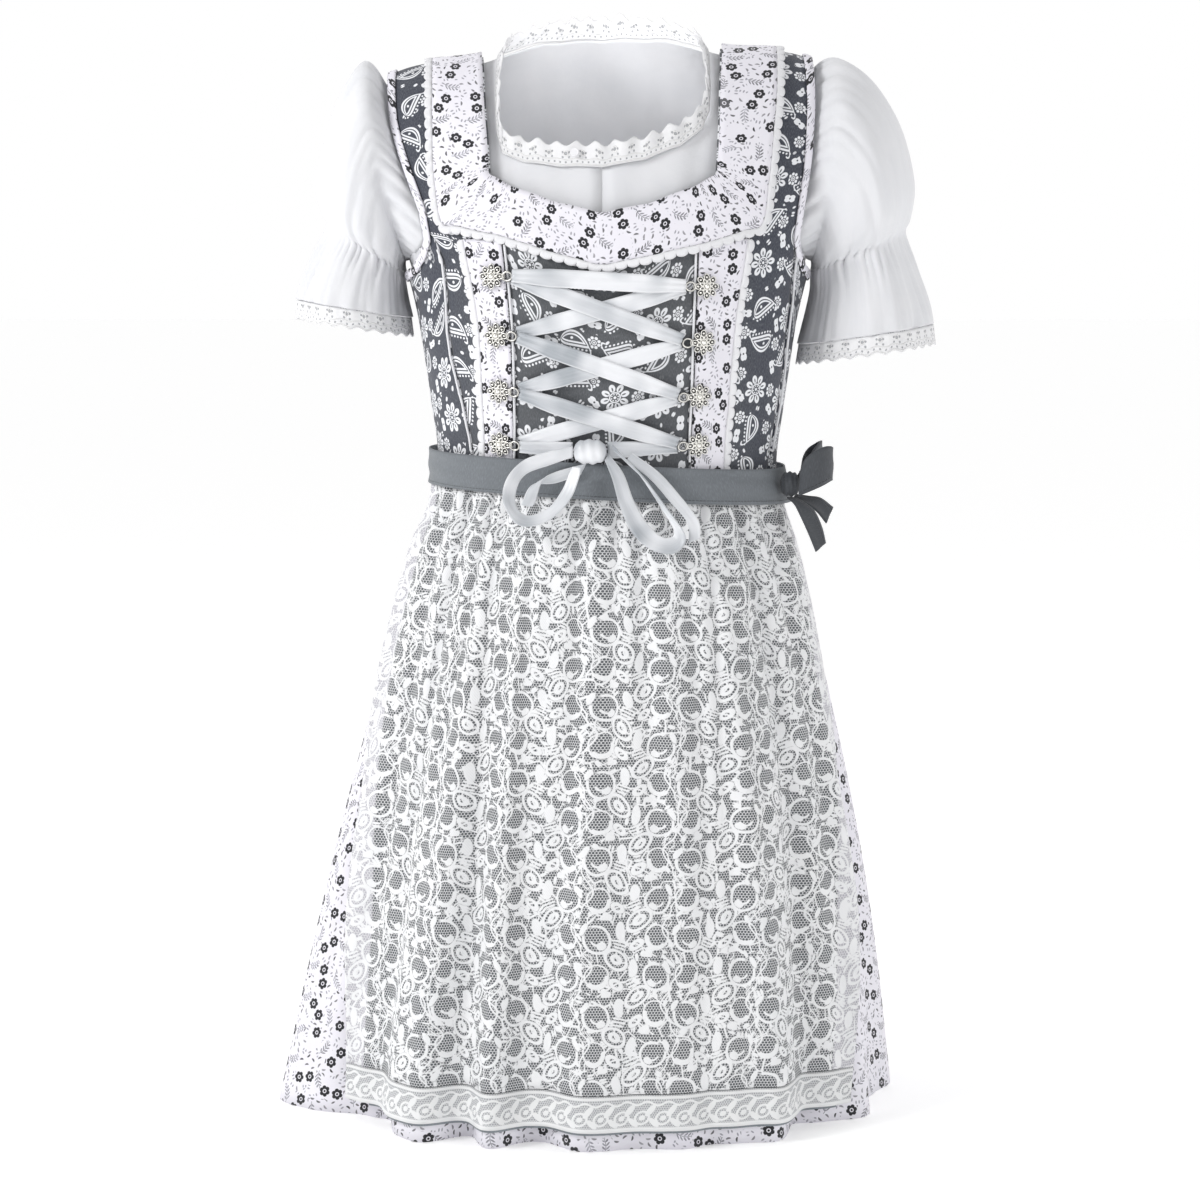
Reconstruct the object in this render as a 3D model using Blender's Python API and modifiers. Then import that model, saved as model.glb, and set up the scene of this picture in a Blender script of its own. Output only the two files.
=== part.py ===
"""A child's dirndl set, worn and hollow: dress, blouse and apron.

The set faces -Y and hangs from the shoulders: the origin lies between the
tops of the shoulder straps. Left and right are the viewer's. Every cloth is
a wall lofted through points of one general figure or of the flared skirt,
and thickened outwards. Sizes are in millimetres up to the last step.
"""
import math

import bmesh
import bpy
from mathutils import Matrix, Vector

MM = 0.001

# The general figure. Levels are measured along the girth: minus is below the
# underarm line in millimetres, and the shoulder ridge is at level RIDGE.
UNDERARM_Z = -168.0
RIDGE = 264.0
SECTION_POWER = 2.4
SIDE_SHIFT = 4.0
SHOULDER_TILT = 0.035

# level, half width, half depth in front, half depth behind
FIGURE = (
    (-150.0, 122.0, 95.0, 87.5),
    (-117.0, 115.0, 88.0, 81.0),
    (-62.0, 121.0, 95.0, 89.0),
    (0.0, 131.0, 100.0, 95.0),
    (60.0, 147.0, 100.0, 95.0),
    (130.0, 160.0, 100.0, 95.0),
    (264.0, 165.0, 100.0, 95.0),
    (330.0, 165.0, 100.0, 95.0),
)
# distance from the middle, height of the shoulder ridge over the underarm line
SHOULDER = (
    (-40.0, 187.0),
    (0.0, 200.0),
    (40.0, 187.0),
    (60.0, 176.0),
    (74.0, 169.5),
    (86.0, 166.5),
    (104.0, 165.0),
    (118.0, 164.0),
    (132.0, 161.5),
    (146.0, 157.0),
    (170.0, 150.0),
)

# Cloth layers as distances outside the figure, and the walls' thickness.
BLOUSE_OUT = -2.8
BLOUSE_WALL = 1.0
BODICE_OUT = 1.6
BODICE_WALL = 1.4
TRIM_OUT = 3.6
TRIM_WALL = 1.0
BORDER_OUT = 5.2
PIPING_OUT = 4.4
PIPING_RADIUS = 0.7
SEAM_GAP = 0.3
BAND_OUT = 8.2
BAND_WALL = 1.4
WAIST_Z = -286.0

# Edges seen from the front as (x, z).
NECKLINE = (
    (-81.7, -0.3),
    (-78.2, -31.6),
    (-75.5, -59.7),
    (-73.4, -85.0),
    (-58.1, -93.9),
    (-31.3, -103.4),
    (-0.5, -110.5),
    (31.5, -104.4),
    (59.5, -93.9),
    (74.6, -85.0),
    (76.7, -59.8),
    (78.0, -31.9),
    (81.0, -0.3),
)
BORDER_EDGE = (
    (-116.0, -0.3),
    (-113.0, -30.7),
    (-111.3, -59.0),
    (-109.4, -86.5),
    (-104.3, -115.0),
    (-68.1, -124.6),
    (-34.6, -135.4),
    (-0.5, -144.0),
    (32.5, -138.0),
    (66.3, -130.0),
    (104.2, -116.4),
    (108.5, -90.0),
    (112.4, -59.2),
    (116.0, -31.1),
    (119.0, -0.3),
)
PLACKET_INNER_LEFT = (
    (-59.0, -287.0),
    (-58.8, -227.5),
    (-60.0, -187.3),
    (-62.6, -157.3),
    (-66.0, -127.3),
)
PLACKET_OUTER_LEFT = (
    (-77.2, -287.0),
    (-77.8, -227.8),
    (-79.7, -187.5),
    (-84.3, -157.3),
    (-90.5, -127.2),
)
PLACKET_INNER_RIGHT = (
    (59.0, -287.0),
    (60.1, -227.5),
    (61.3, -187.3),
    (62.6, -157.3),
    (63.3, -127.3),
)
PLACKET_OUTER_RIGHT = (
    (80.0, -287.0),
    (84.0, -214.4),
    (88.5, -167.4),
    (92.0, -147.3),
    (95.0, -127.0),
)
PRINCESS_LEFT = (
    (-84.5, -287.0),
    (-86.0, -268.8),
    (-91.5, -235.0),
    (-99.0, -205.0),
    (-101.3, -187.8),
    (-102.5, -160.0),
    (-104.6, -140.5),
    (-110.5, -126.5),
)
PRINCESS_RIGHT = (
    (111.0, -287.0),
    (113.9, -270.7),
    (121.0, -215.8),
    (126.0, -167.7),
    (127.6, -145.0),
    (129.0, -131.0),
)
# level, x of the left armhole edge, x of the right armhole edge
ARMHOLE = (
    (264.0, -146.0, 143.0),
    (217.0, -145.0, 142.5),
    (147.0, -140.7, 141.5),
    (124.0, -136.7, 140.0),
    (94.0, -129.3, 137.5),
    (64.0, -119.9, 133.0),
    (44.0, -116.4, 130.0),
)
ARMHOLE_LOW = 21.0
MEETING_LEVEL = 52.0
BLOUSE_NECK = (
    (-70.0, 0.0),
    (-71.0, -30.0),
    (-70.0, -54.0),
    (-66.0, -69.0),
    (-52.0, -75.0),
    (-28.0, -78.0),
    (0.0, -78.5),
    (28.0, -73.5),
    (52.0, -64.0),
    (66.0, -53.0),
    (71.0, -41.0),
    (72.0, -26.0),
    (71.0, 0.0),
)
BLOUSE_BACK_LEVEL = 200.0
BLOUSE_HEM_LEVEL = -62.0

# The skirt: height, half width, half depth in front, behind, shift of sides.
SKIRT = (
    (-275.0, 116.0, 89.0, 82.0, 4.0),
    (-288.0, 117.0, 90.0, 83.0, 4.0),
    (-309.0, 120.0, 95.0, 89.0, 4.0),
    (-334.0, 130.0, 103.0, 98.0, 3.0),
    (-375.0, 141.5, 111.0, 107.0, 3.0),
    (-430.0, 155.0, 121.0, 118.0, 2.0),
    (-492.0, 170.0, 132.0, 130.0, 1.0),
    (-560.0, 185.0, 143.0, 142.0, -1.0),
    (-637.0, 200.0, 153.0, 153.0, -4.0),
    (-727.0, 215.0, 164.0, 165.0, -8.0),
    (-760.0, 220.0, 168.0, 169.0, -9.0),
)
SKIRT_HEM_Z = -727.0
SKIRT_WALL = 1.2
SKIRT_ROWS = (-287.0, -299.0, -314.0, -334.0, -368.0, -425.0, -500.0, -600.0, -727.0)
# angle of a fold's crest, of the valley after it, the valley's depth at the
# hem, how far the crest reaches out there
FOLDS = (
    (-80.0, -50.0, 30.0, 8.0),
    (-32.0, -23.5, 22.0, 1.0),
    (-18.0, -11.5, 18.0, 0.0),
    (-3.0, 5.0, 7.0, 0.0),
    (12.0, 21.0, 7.0, 0.0),
    (30.0, 43.0, 24.0, 1.0),
    (64.0, 77.0, 16.0, -3.0),
    (92.0, 101.0, 18.0, 0.0),
    (111.0, 119.0, 17.0, 0.0),
    (128.0, 137.0, 18.0, 0.0),
    (145.0, 154.0, 16.0, 0.0),
    (163.0, 172.0, 18.0, 0.0),
    (180.0, 188.0, 17.0, 0.0),
    (197.0, 206.0, 18.0, 0.0),
    (214.0, 223.0, 17.0, 0.0),
    (232.0, 241.0, 18.0, 0.0),
    (250.0, 261.0, 20.0, 2.0),
)
FOLD_AT_WAIST = 0.06

# The apron lies on the skirt's folds and bridges more than half of each.
APRON_FOLD_SHARE = 0.45
APRON_WALL = 1.0
APRON_TILT = -0.06
UNDERLAY_OUT = 1.9
UNDERLAY_OUT_GROWTH = 3.0
LACE_OUT = 3.4
LACE_OUT_GROWTH = 3.9
APRON_ROWS = (-296.0, -308.0, -325.0, -355.0, -410.0, -485.0, -580.0)
LACE_STRIP_TOP_Z = -689.0
APRON_HEM_Z = -713.0
# height, angle of the apron's left edge, angle of its right edge
APRON_EDGES = (
    (-280.0, -86.0, 88.0),
    (-400.0, -78.0, 80.0),
    (-520.0, -69.0, 69.0),
    (-640.0, -61.0, 60.0),
    (-713.0, -57.0, 55.0),
    (-740.0, -56.0, 54.0),
)
APRON_COLUMNS = 32
UNDERLAY_COLUMNS = (2, 31)
BAND_TOP_Z = -275.5
BAND_HEIGHT = 26.5

# The sleeves, a ring in each row: outer end x, z, underarm end x, z, half depth.
SLEEVE_LEFT = (
    (-163.0, -8.0, -136.5, -139.0, 56.0),
    (-179.0, -30.0, -137.0, -141.0, 60.0),
    (-189.0, -60.0, -137.5, -143.0, 60.0),
    (-195.0, -90.0, -138.0, -145.0, 56.0),
    (-191.0, -109.0, -138.0, -147.0, 48.0),
    (-187.0, -118.0, -138.5, -149.5, 43.0),
    (-197.0, -137.0, -137.5, -160.0, 46.0),
    (-206.0, -156.0, -135.5, -172.0, 49.0),
    (-209.5, -167.5, -134.0, -179.5, 51.0),
)
CUFF_LEFT = (
    (-209.7, -168.0, -133.9, -180.0, 51.1),
    (-211.0, -181.5, -132.0, -193.5, 52.0),
)
SLEEVE_RIGHT = (
    (162.0, -6.0, 145.5, -139.0, 58.0),
    (184.0, -20.0, 146.0, -141.0, 62.0),
    (203.0, -50.0, 146.5, -143.0, 64.0),
    (213.0, -88.0, 147.0, -145.0, 60.0),
    (211.0, -112.0, 147.0, -147.0, 51.0),
    (207.0, -124.0, 147.0, -149.5, 46.0),
    (215.0, -146.0, 146.0, -164.0, 50.0),
    (224.0, -170.0, 141.5, -185.0, 54.0),
    (227.5, -184.5, 138.5, -198.0, 56.0),
)
CUFF_RIGHT = (
    (227.7, -185.0, 138.4, -198.5, 56.1),
    (230.0, -199.0, 136.0, -212.5, 57.0),
)
SLEEVE_WALL = 1.0
SLEEVE_POINTS = 20
SLEEVE_WAVES = 5
SLEEVE_START = 4.6

# The hooks: x and z of each rosette's middle.
HOOKS = (
    ("hook_left_1", -71.0, -151.5),
    ("hook_left_2", -68.0, -190.0),
    ("hook_left_3", -66.5, -227.0),
    ("hook_left_4", -66.0, -262.5),
    ("hook_right_1", 67.2, -158.0),
    ("hook_right_2", 65.2, -194.5),
    ("hook_right_3", 62.7, -230.5),
    ("hook_right_4", 62.4, -263.0),
)
HOOK_OUT = 5.4
# The outline of a hook from above: rosette with eight petals and an eye.
HOOK_OUTLINE = (
    (14.5, -2.6),
    (14.5, 2.6),
    (8.2, 3.4),
    (6.4, 5.6),
    (2.4, 7.0),
    (0.0, 8.6),
    (-4.0, 6.4),
    (-6.6, 6.2),
    (-7.2, 2.4),
    (-8.6, 0.0),
    (-7.2, -2.4),
    (-6.6, -6.2),
    (-4.0, -6.4),
    (0.0, -8.6),
    (2.4, -7.0),
    (6.4, -5.6),
    (8.2, -3.4),
)
HOOK_LEVELS = ((0.0, 1.0), (1.8, 0.94))
HOOK_DOME = ((3.2, 3.0),)

# The lacing ribbon: run, its ends as (x, z), its distance from the figure.
RIBBON_WIDTH = 13.5
RIBBON_END_WIDTH = 8.0
RIBBON_WALL = 0.8
RIBBON_RUNS = (
    ("ribbon_top_run", -57.5, -151.5, 53.5, -158.0, 8.4),
    ("ribbon_run_1_down", -57.2, -153.0, 51.4, -193.0, 7.0),
    ("ribbon_run_1_up", -54.5, -188.5, 53.0, -159.5, 5.6),
    ("ribbon_run_2_down", -54.2, -191.5, 49.0, -229.0, 7.0),
    ("ribbon_run_2_up", -53.1, -225.5, 51.0, -196.0, 5.6),
    ("ribbon_run_3_down", -52.9, -228.5, 48.9, -261.5, 7.0),
    ("ribbon_run_3_up", -52.8, -261.0, 48.5, -232.0, 5.6),
    ("ribbon_run_4_left", -52.9, -264.0, -19.4, -266.0, 7.0),
    ("ribbon_run_4_right", 3.7, -266.0, 48.9, -264.5, 5.6),
)
RIBBON_KNOT = (-8.0, -100.7, -267.5)
RIBBON_KNOT_SIZE = (11.0, 6.8, 8.2)
# The bow's strips: each row is one edge x, y, z and the other edge x, y, z.
RIBBON_LOOP_LEFT = (
    (-19.4, -105.6, -264.0, -19.4, -102.6, -271.0),
    (-36.0, -108.0, -267.5, -35.0, -103.5, -276.5),
    (-52.0, -110.0, -273.0, -50.0, -104.5, -282.0),
    (-63.0, -112.0, -285.0, -56.5, -106.5, -291.0),
    (-65.0, -114.5, -300.0, -57.0, -110.0, -303.0),
    (-55.0, -117.5, -314.5, -49.0, -111.5, -309.0),
    (-37.0, -118.0, -312.5, -36.0, -112.0, -304.0),
    (-22.0, -115.5, -299.0, -27.0, -109.5, -293.0),
    (-15.5, -112.0, -284.0, -22.0, -107.5, -282.0),
    (-14.5, -110.5, -277.5, -19.5, -109.0, -277.0),
)
RIBBON_LOOP_RIGHT = (
    (2.0, -104.8, -272.4, 4.0, -102.6, -268.5),
    (7.0, -110.5, -285.0, 14.0, -107.0, -281.0),
    (12.0, -115.0, -303.0, 21.0, -111.5, -299.0),
    (20.0, -118.5, -320.0, 29.0, -114.5, -313.0),
    (33.0, -121.0, -331.0, 38.0, -116.0, -322.0),
    (48.0, -121.5, -333.0, 45.0, -116.5, -323.5),
    (55.0, -120.0, -323.0, 47.0, -115.5, -318.0),
    (44.0, -116.5, -306.0, 37.0, -112.0, -301.0),
    (30.0, -112.5, -288.0, 24.5, -109.0, -282.0),
    (17.0, -109.0, -275.5, 13.0, -106.0, -270.0),
    (7.5, -104.5, -266.5, 6.5, -102.0, -263.0),
)
RIBBON_END_LEFT = (
    (-10.5, -101.5, -275.6, -14.0, -100.5, -282.6),
    (-32.0, -103.5, -281.5, -31.0, -101.5, -288.5),
    (-40.0, -106.0, -287.5, -46.5, -104.0, -290.0),
    (-44.0, -109.5, -300.0, -52.5, -108.5, -299.0),
    (-46.5, -110.3, -303.5, -53.5, -109.3, -302.5),
)
RIBBON_END_RIGHT = (
    (16.2, -106.3, -272.5, 20.2, -104.3, -268.0),
    (32.0, -106.5, -285.0, 38.0, -104.0, -281.0),
    (45.5, -110.0, -300.5, 52.5, -108.0, -297.0),
    (56.5, -113.5, -314.0, 64.0, -112.0, -312.5),
    (57.5, -116.0, -327.0, 65.0, -114.5, -324.0),
)
# The apron's bow at the viewer's right, in the same way.
BOW_KNOT = (128.4, -49.4, -292.7)
BOW_KNOT_SIZE = (6.5, 7.5, 8.5)
BOW_LOOP_FRONT = (
    (135.0, -63.0, -284.0, 134.0, -61.0, -300.0),
    (138.0, -67.0, -274.0, 140.0, -64.0, -297.0),
    (147.0, -66.0, -267.5, 149.0, -63.0, -293.0),
    (154.0, -60.0, -266.0, 155.0, -58.0, -290.0),
    (156.5, -53.0, -268.0, 156.5, -52.0, -290.0),
    (152.0, -47.0, -271.0, 152.5, -47.5, -292.0),
    (144.0, -46.0, -276.0, 145.0, -47.0, -295.0),
    (135.3, -48.5, -284.0, 135.3, -49.0, -297.0),
)
BOW_LOOP_BACK = (
    (133.7, -44.1, -287.0, 133.7, -44.1, -298.0),
    (144.0, -34.0, -272.0, 144.5, -34.0, -296.0),
    (150.0, -22.0, -266.0, 150.5, -22.0, -291.0),
    (152.5, -10.0, -265.0, 153.0, -10.0, -289.0),
    (149.5, -3.0, -267.0, 150.0, -3.0, -290.0),
    (144.5, -6.0, -271.0, 145.0, -6.0, -292.0),
    (140.5, -18.0, -276.0, 141.0, -18.0, -294.0),
    (138.0, -30.0, -283.0, 138.0, -30.0, -296.0),
)
BOW_TAIL_FRONT = (
    (126.5, -54.5, -300.9, 132.0, -50.8, -301.2),
    (131.0, -61.5, -305.0, 138.5, -55.5, -304.5),
    (134.5, -67.0, -312.0, 145.0, -58.0, -310.0),
    (140.0, -69.5, -324.0, 150.0, -60.0, -321.0),
    (145.5, -71.0, -337.0, 152.5, -62.0, -332.0),
)
BOW_TAIL_BACK = (
    (130.6, -49.2, -302.1, 132.9, -43.3, -299.8),
    (139.5, -51.5, -305.5, 142.0, -41.5, -301.0),
    (147.0, -53.5, -311.0, 150.5, -41.0, -302.5),
    (153.5, -54.5, -319.0, 159.0, -42.5, -309.0),
)
BUTTON = (-18.0, -71.0)
BUTTON_OUT = 3.4
BUTTON_RADIUS = 3.0
BUTTON_DEPTH = 1.4
BUTTON_SIDES = 10
SCALLOP_PITCH = 9.0
SCALLOP_WIDTH = (3.2, 5.4)
LACE_HEIGHT = 15.0

PAISLEY = ("printed chambray", (0.075, 0.083, 0.095, 1.0), 0.85, 0.0)
FLORAL = ("floral cotton", (0.80, 0.79, 0.83, 1.0), 0.85, 0.0)
WHITE = ("white cotton", (0.86, 0.87, 0.90, 1.0), 0.85, 0.0)
LACE = ("white lace", (0.80, 0.80, 0.79, 1.0), 0.9, 0.0)
GREY = ("grey apron cloth", (0.14, 0.17, 0.19, 1.0), 0.7, 0.0)
APRON_LACE = ("floral lace", (0.62, 0.64, 0.66, 1.0), 0.9, 0.0)
SATIN = ("satin ribbon", (0.66, 0.69, 0.73, 1.0), 0.35, 0.0)
SILVER = ("antique silver", (0.60, 0.57, 0.50, 1.0), 0.35, 1.0)


def read(table, column, at):
    """The value of a table's column at a place, on a smooth curve."""
    if at <= table[0][0]:
        return table[0][column]
    if at >= table[-1][0]:
        return table[-1][column]
    row = 0
    while table[row + 1][0] < at:
        row += 1

    def slope(index):
        low = max(index - 1, 0)
        high = min(index + 1, len(table) - 1)
        return (table[high][column] - table[low][column]) / (table[high][0] - table[low][0])

    span = table[row + 1][0] - table[row][0]
    share = (at - table[row][0]) / span
    square = share * share
    cube = square * share
    value = (2 * cube - 3 * square + 1) * table[row][column]
    value += (cube - 2 * square + share) * span * slope(row)
    value += (3 * square - 2 * cube) * table[row + 1][column]
    value += (cube - square) * span * slope(row + 1)
    return value


def signed_power(value, power):
    return math.copysign(abs(value) ** power, value)


def shoulder_height(x):
    return read(SHOULDER, 1, abs(x)) + SHOULDER_TILT * x


def figure(angle, level):
    """A point of the figure: angle 0 in front, growing to the viewer's right."""
    if level > RIDGE:
        angle = 180.0 - angle
        level = 2.0 * RIDGE - level
    across = signed_power(math.sin(math.radians(angle)), 2.0 / SECTION_POWER)
    forward = signed_power(math.cos(math.radians(angle)), 2.0 / SECTION_POWER)
    x = read(FIGURE, 1, level) * across + SIDE_SHIFT * across * across
    depth = read(FIGURE, 2 if forward > 0 else 3, level)
    if level <= 0:
        return Vector((x, -depth * forward, UNDERARM_Z + level))
    rise = math.radians(90.0 * level / RIDGE)
    z = UNDERARM_Z + shoulder_height(x) * math.sin(rise)
    return Vector((x, -depth * forward * math.cos(rise), z))


def outside(angle, level, distance):
    """A point at a distance outside the figure."""
    step = 0.5
    across = figure(angle + step, level) - figure(angle - step, level)
    upward = figure(angle, level + step) - figure(angle, level - step)
    return figure(angle, level) + across.cross(upward).normalized() * distance


def angle_of(x, level):
    """The angle, in front, at which the figure has this x."""
    width = read(FIGURE, 1, level)
    share = (math.sqrt(width * width + 4 * SIDE_SHIFT * x) - width) / (2 * SIDE_SHIFT)
    sine = signed_power(share, SECTION_POWER / 2.0)
    return math.degrees(math.asin(max(-1.0, min(1.0, sine))))


def level_of(x, z):
    """The level, in front, at which the figure has this x and z."""
    if z <= UNDERARM_Z:
        return z - UNDERARM_Z
    share = min(1.0, (z - UNDERARM_Z) / shoulder_height(x))
    return RIDGE / 90.0 * math.degrees(math.asin(share))


def front(x, z):
    level = level_of(x, z)
    return (angle_of(x, level), level)


def front_edge(table):
    return [front(x, z) for x, z in table]


def walk(edge, count):
    """Count + 1 places spaced evenly along an edge of (angle, level) places."""
    fine = []
    for start, end in zip(edge, edge[1:]):
        for step in range(6):
            share = step / 6.0
            fine.append(tuple(a + (b - a) * share for a, b in zip(start, end)))
    fine.append(tuple(edge[-1]))
    lengths = [0.0]
    for start, end in zip(fine, fine[1:]):
        lengths.append(lengths[-1] + (figure(*end) - figure(*start)).length)
    places = []
    for index in range(count + 1):
        target = lengths[-1] * index / count
        spot = 0
        while spot < len(fine) - 2 and lengths[spot + 1] < target:
            spot += 1
        span = lengths[spot + 1] - lengths[spot]
        share = 0.0 if span == 0 else (target - lengths[spot]) / span
        places.append(tuple(a + (b - a) * share for a, b in zip(fine[spot], fine[spot + 1])))
    return places


def blend(start, end, share):
    return tuple(a + (b - a) * share for a, b in zip(start, end))


def patch(bottom, top, left, right):
    """Rows of (angle, level) places between four edges that meet in corners."""
    columns = len(bottom) - 1
    rows = len(left) - 1
    places = []
    for row in range(rows + 1):
        v = row / rows
        line = []
        for column in range(columns + 1):
            u = column / columns
            place = []
            for part in range(2):
                value = (1 - v) * bottom[column][part] + v * top[column][part]
                value += (1 - u) * left[row][part] + u * right[row][part]
                value -= (1 - u) * (1 - v) * bottom[0][part] + u * (1 - v) * bottom[-1][part]
                value -= (1 - u) * v * top[0][part] + u * v * top[-1][part]
                place.append(value)
            line.append(tuple(place))
        places.append(line)
    return places


def even_panel(bottom, top, left, right):
    """Rows between four edges, spread evenly in the middle of the panel."""
    columns = len(bottom) - 1
    rows = len(left) - 1
    places = []
    for row in range(rows + 1):
        left_rise = (left[row][1] - left[0][1]) / (left[-1][1] - left[0][1])
        right_rise = (right[row][1] - right[0][1]) / (right[-1][1] - right[0][1])
        line = []
        for column in range(columns + 1):
            u = column / columns
            middle = (4.0 * u * (1.0 - u)) ** 2
            edge_rise = left_rise + (right_rise - left_rise) * u
            rise = edge_rise + (row / rows - edge_rise) * middle
            level = bottom[column][1] + (top[column][1] - bottom[column][1]) * rise
            low = (bottom[column][0] - bottom[0][0]) / (bottom[-1][0] - bottom[0][0])
            high = (top[column][0] - top[0][0]) / (top[-1][0] - top[0][0])
            share = low + (high - low) * rise
            angle = left[row][0] + (right[row][0] - left[row][0]) * share
            line.append((angle, level))
        places.append(line)
    return places


def ruled(left, right, columns):
    """Rows of places between a left and a right edge with as many places."""
    return [[blend(a, b, c / columns) for c in range(columns + 1)] for a, b in zip(left, right)]


def on_figure(places, distance):
    return [[outside(angle, level, distance) for angle, level in line] for line in places]


def add_object(name, data, look):
    title, colour, roughness, metallic = look
    material = bpy.data.materials.get(title)
    if material is None:
        material = bpy.data.materials.new(title)
        material.use_nodes = True
        shader = material.node_tree.nodes["Principled BSDF"]
        shader.inputs["Base Color"].default_value = colour
        shader.inputs["Roughness"].default_value = roughness
        shader.inputs["Metallic"].default_value = metallic
    data.materials.append(material)
    thing = bpy.data.objects.new(name, data)
    parts.objects.link(thing)
    return thing


def sheet(name, lines, wall, look, closed=False, closed_rows=False):
    """A cloth wall: an open lofted surface, thickened outwards."""
    count = len(lines[0])
    mesh = bpy.data.meshes.new(name)
    vertices = [point * MM for line in lines for point in line]
    faces = []
    row_steps = len(lines) if closed_rows else len(lines) - 1
    for row in range(row_steps):
        above = (row + 1) % len(lines)
        for column in range(count if closed else count - 1):
            after = (column + 1) % count
            faces.append((row * count + column, row * count + after,
                          above * count + after, above * count + column))
    mesh.from_pydata(vertices, [], faces)
    thing = add_object(name, mesh, look)
    thickness = thing.modifiers.new("cloth", "SOLIDIFY")
    thickness.thickness = wall * MM
    thickness.offset = 1.0
    return thing


def piping(name, edge, distance, radius, count, look):
    """A thin cord along an edge."""
    curve = bpy.data.curves.new(name, "CURVE")
    curve.dimensions = "3D"
    curve.bevel_depth = radius * MM
    curve.bevel_resolution = 0
    curve.use_fill_caps = True
    line = curve.splines.new("POLY")
    places = walk(edge, count)
    line.points.add(count)
    for point, place in zip(line.points, places):
        point.co = (*(outside(*place, distance) * MM), 1.0)
    return add_object(name, curve, look)


def lump(name, middle, size, look):
    """A small rounded knot."""
    mesh = bpy.data.meshes.new(name)
    rings = ((-1.0, 0.55), (-0.45, 0.95), (0.45, 1.0), (1.0, 0.5))
    around = 8
    vertices = []
    for height, width in rings:
        for step in range(around):
            turn = math.radians(360.0 * (step + 0.5) / around)
            vertices.append(Vector((size[0] * height,
                                    size[1] * width * math.cos(turn),
                                    size[2] * width * math.sin(turn))) * MM)
    faces = [tuple(range(around))[::-1]]
    for ring in range(len(rings) - 1):
        for step in range(around):
            after = (step + 1) % around
            faces.append((ring * around + step, ring * around + after,
                          (ring + 1) * around + after, (ring + 1) * around + step))
    last = (len(rings) - 1) * around
    faces.append(tuple(last + step for step in range(around)))
    mesh.from_pydata(vertices, [], faces)
    thing = add_object(name, mesh, look)
    thing.location = Vector(middle) * MM
    return thing


def smooth_rows(table, steps):
    """More rows through the rows of a table, on a smooth curve."""
    rows = [(float(index),) + tuple(row) for index, row in enumerate(table)]
    wanted = []
    total = (len(table) - 1) * steps
    for step in range(total + 1):
        at = step / steps
        wanted.append([read(rows, column + 1, at) for column in range(len(table[0]))])
    return wanted


def strip(name, table, steps, wall, look):
    """A flat tape through the rows of a table."""
    lines = [[], []]
    for row in smooth_rows(table, steps):
        lines[0].append(Vector(row[3:6]))
        lines[1].append(Vector(row[0:3]))
    return sheet(name, lines, wall, look)


# The armholes


def armhole_places(side, grow, low):
    """Ridge to underarm in front: (angle, level) places; grow moves outwards."""
    column = 1 if side < 0 else 2
    places = []
    for row in ARMHOLE:
        x = row[column] + side * grow
        places.append((angle_of(x, row[0]), row[0]))
    start_angle, start_level = places[-1]
    side_angle = 90.0 * side
    for share, drop in ((0.12, 0.42), (0.35, 0.80), (0.66, 0.96), (1.0, 1.0)):
        angle = start_angle + (side_angle - start_angle) * share
        places.append((angle, start_level + (low - start_level) * drop))
    return places


def mirrored_behind(places, side):
    return [(180.0 * side - angle, level) for angle, level in places]


def armhole_split(side, meeting_level):
    """The front armhole edge above a level, and the edge below it."""
    places = armhole_places(side, 0.0, ARMHOLE_LOW)
    upper = [place for place in places if place[1] > meeting_level]
    lower = [place for place in places if place[1] <= meeting_level]
    before = upper[-1]
    after = lower[0]
    share = (before[1] - meeting_level) / (before[1] - after[1])
    meeting = blend(before, after, share)
    return upper + [meeting], [meeting] + lower


def shifted(places, degrees):
    return [(angle + degrees, level) for angle, level in places]


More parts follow.
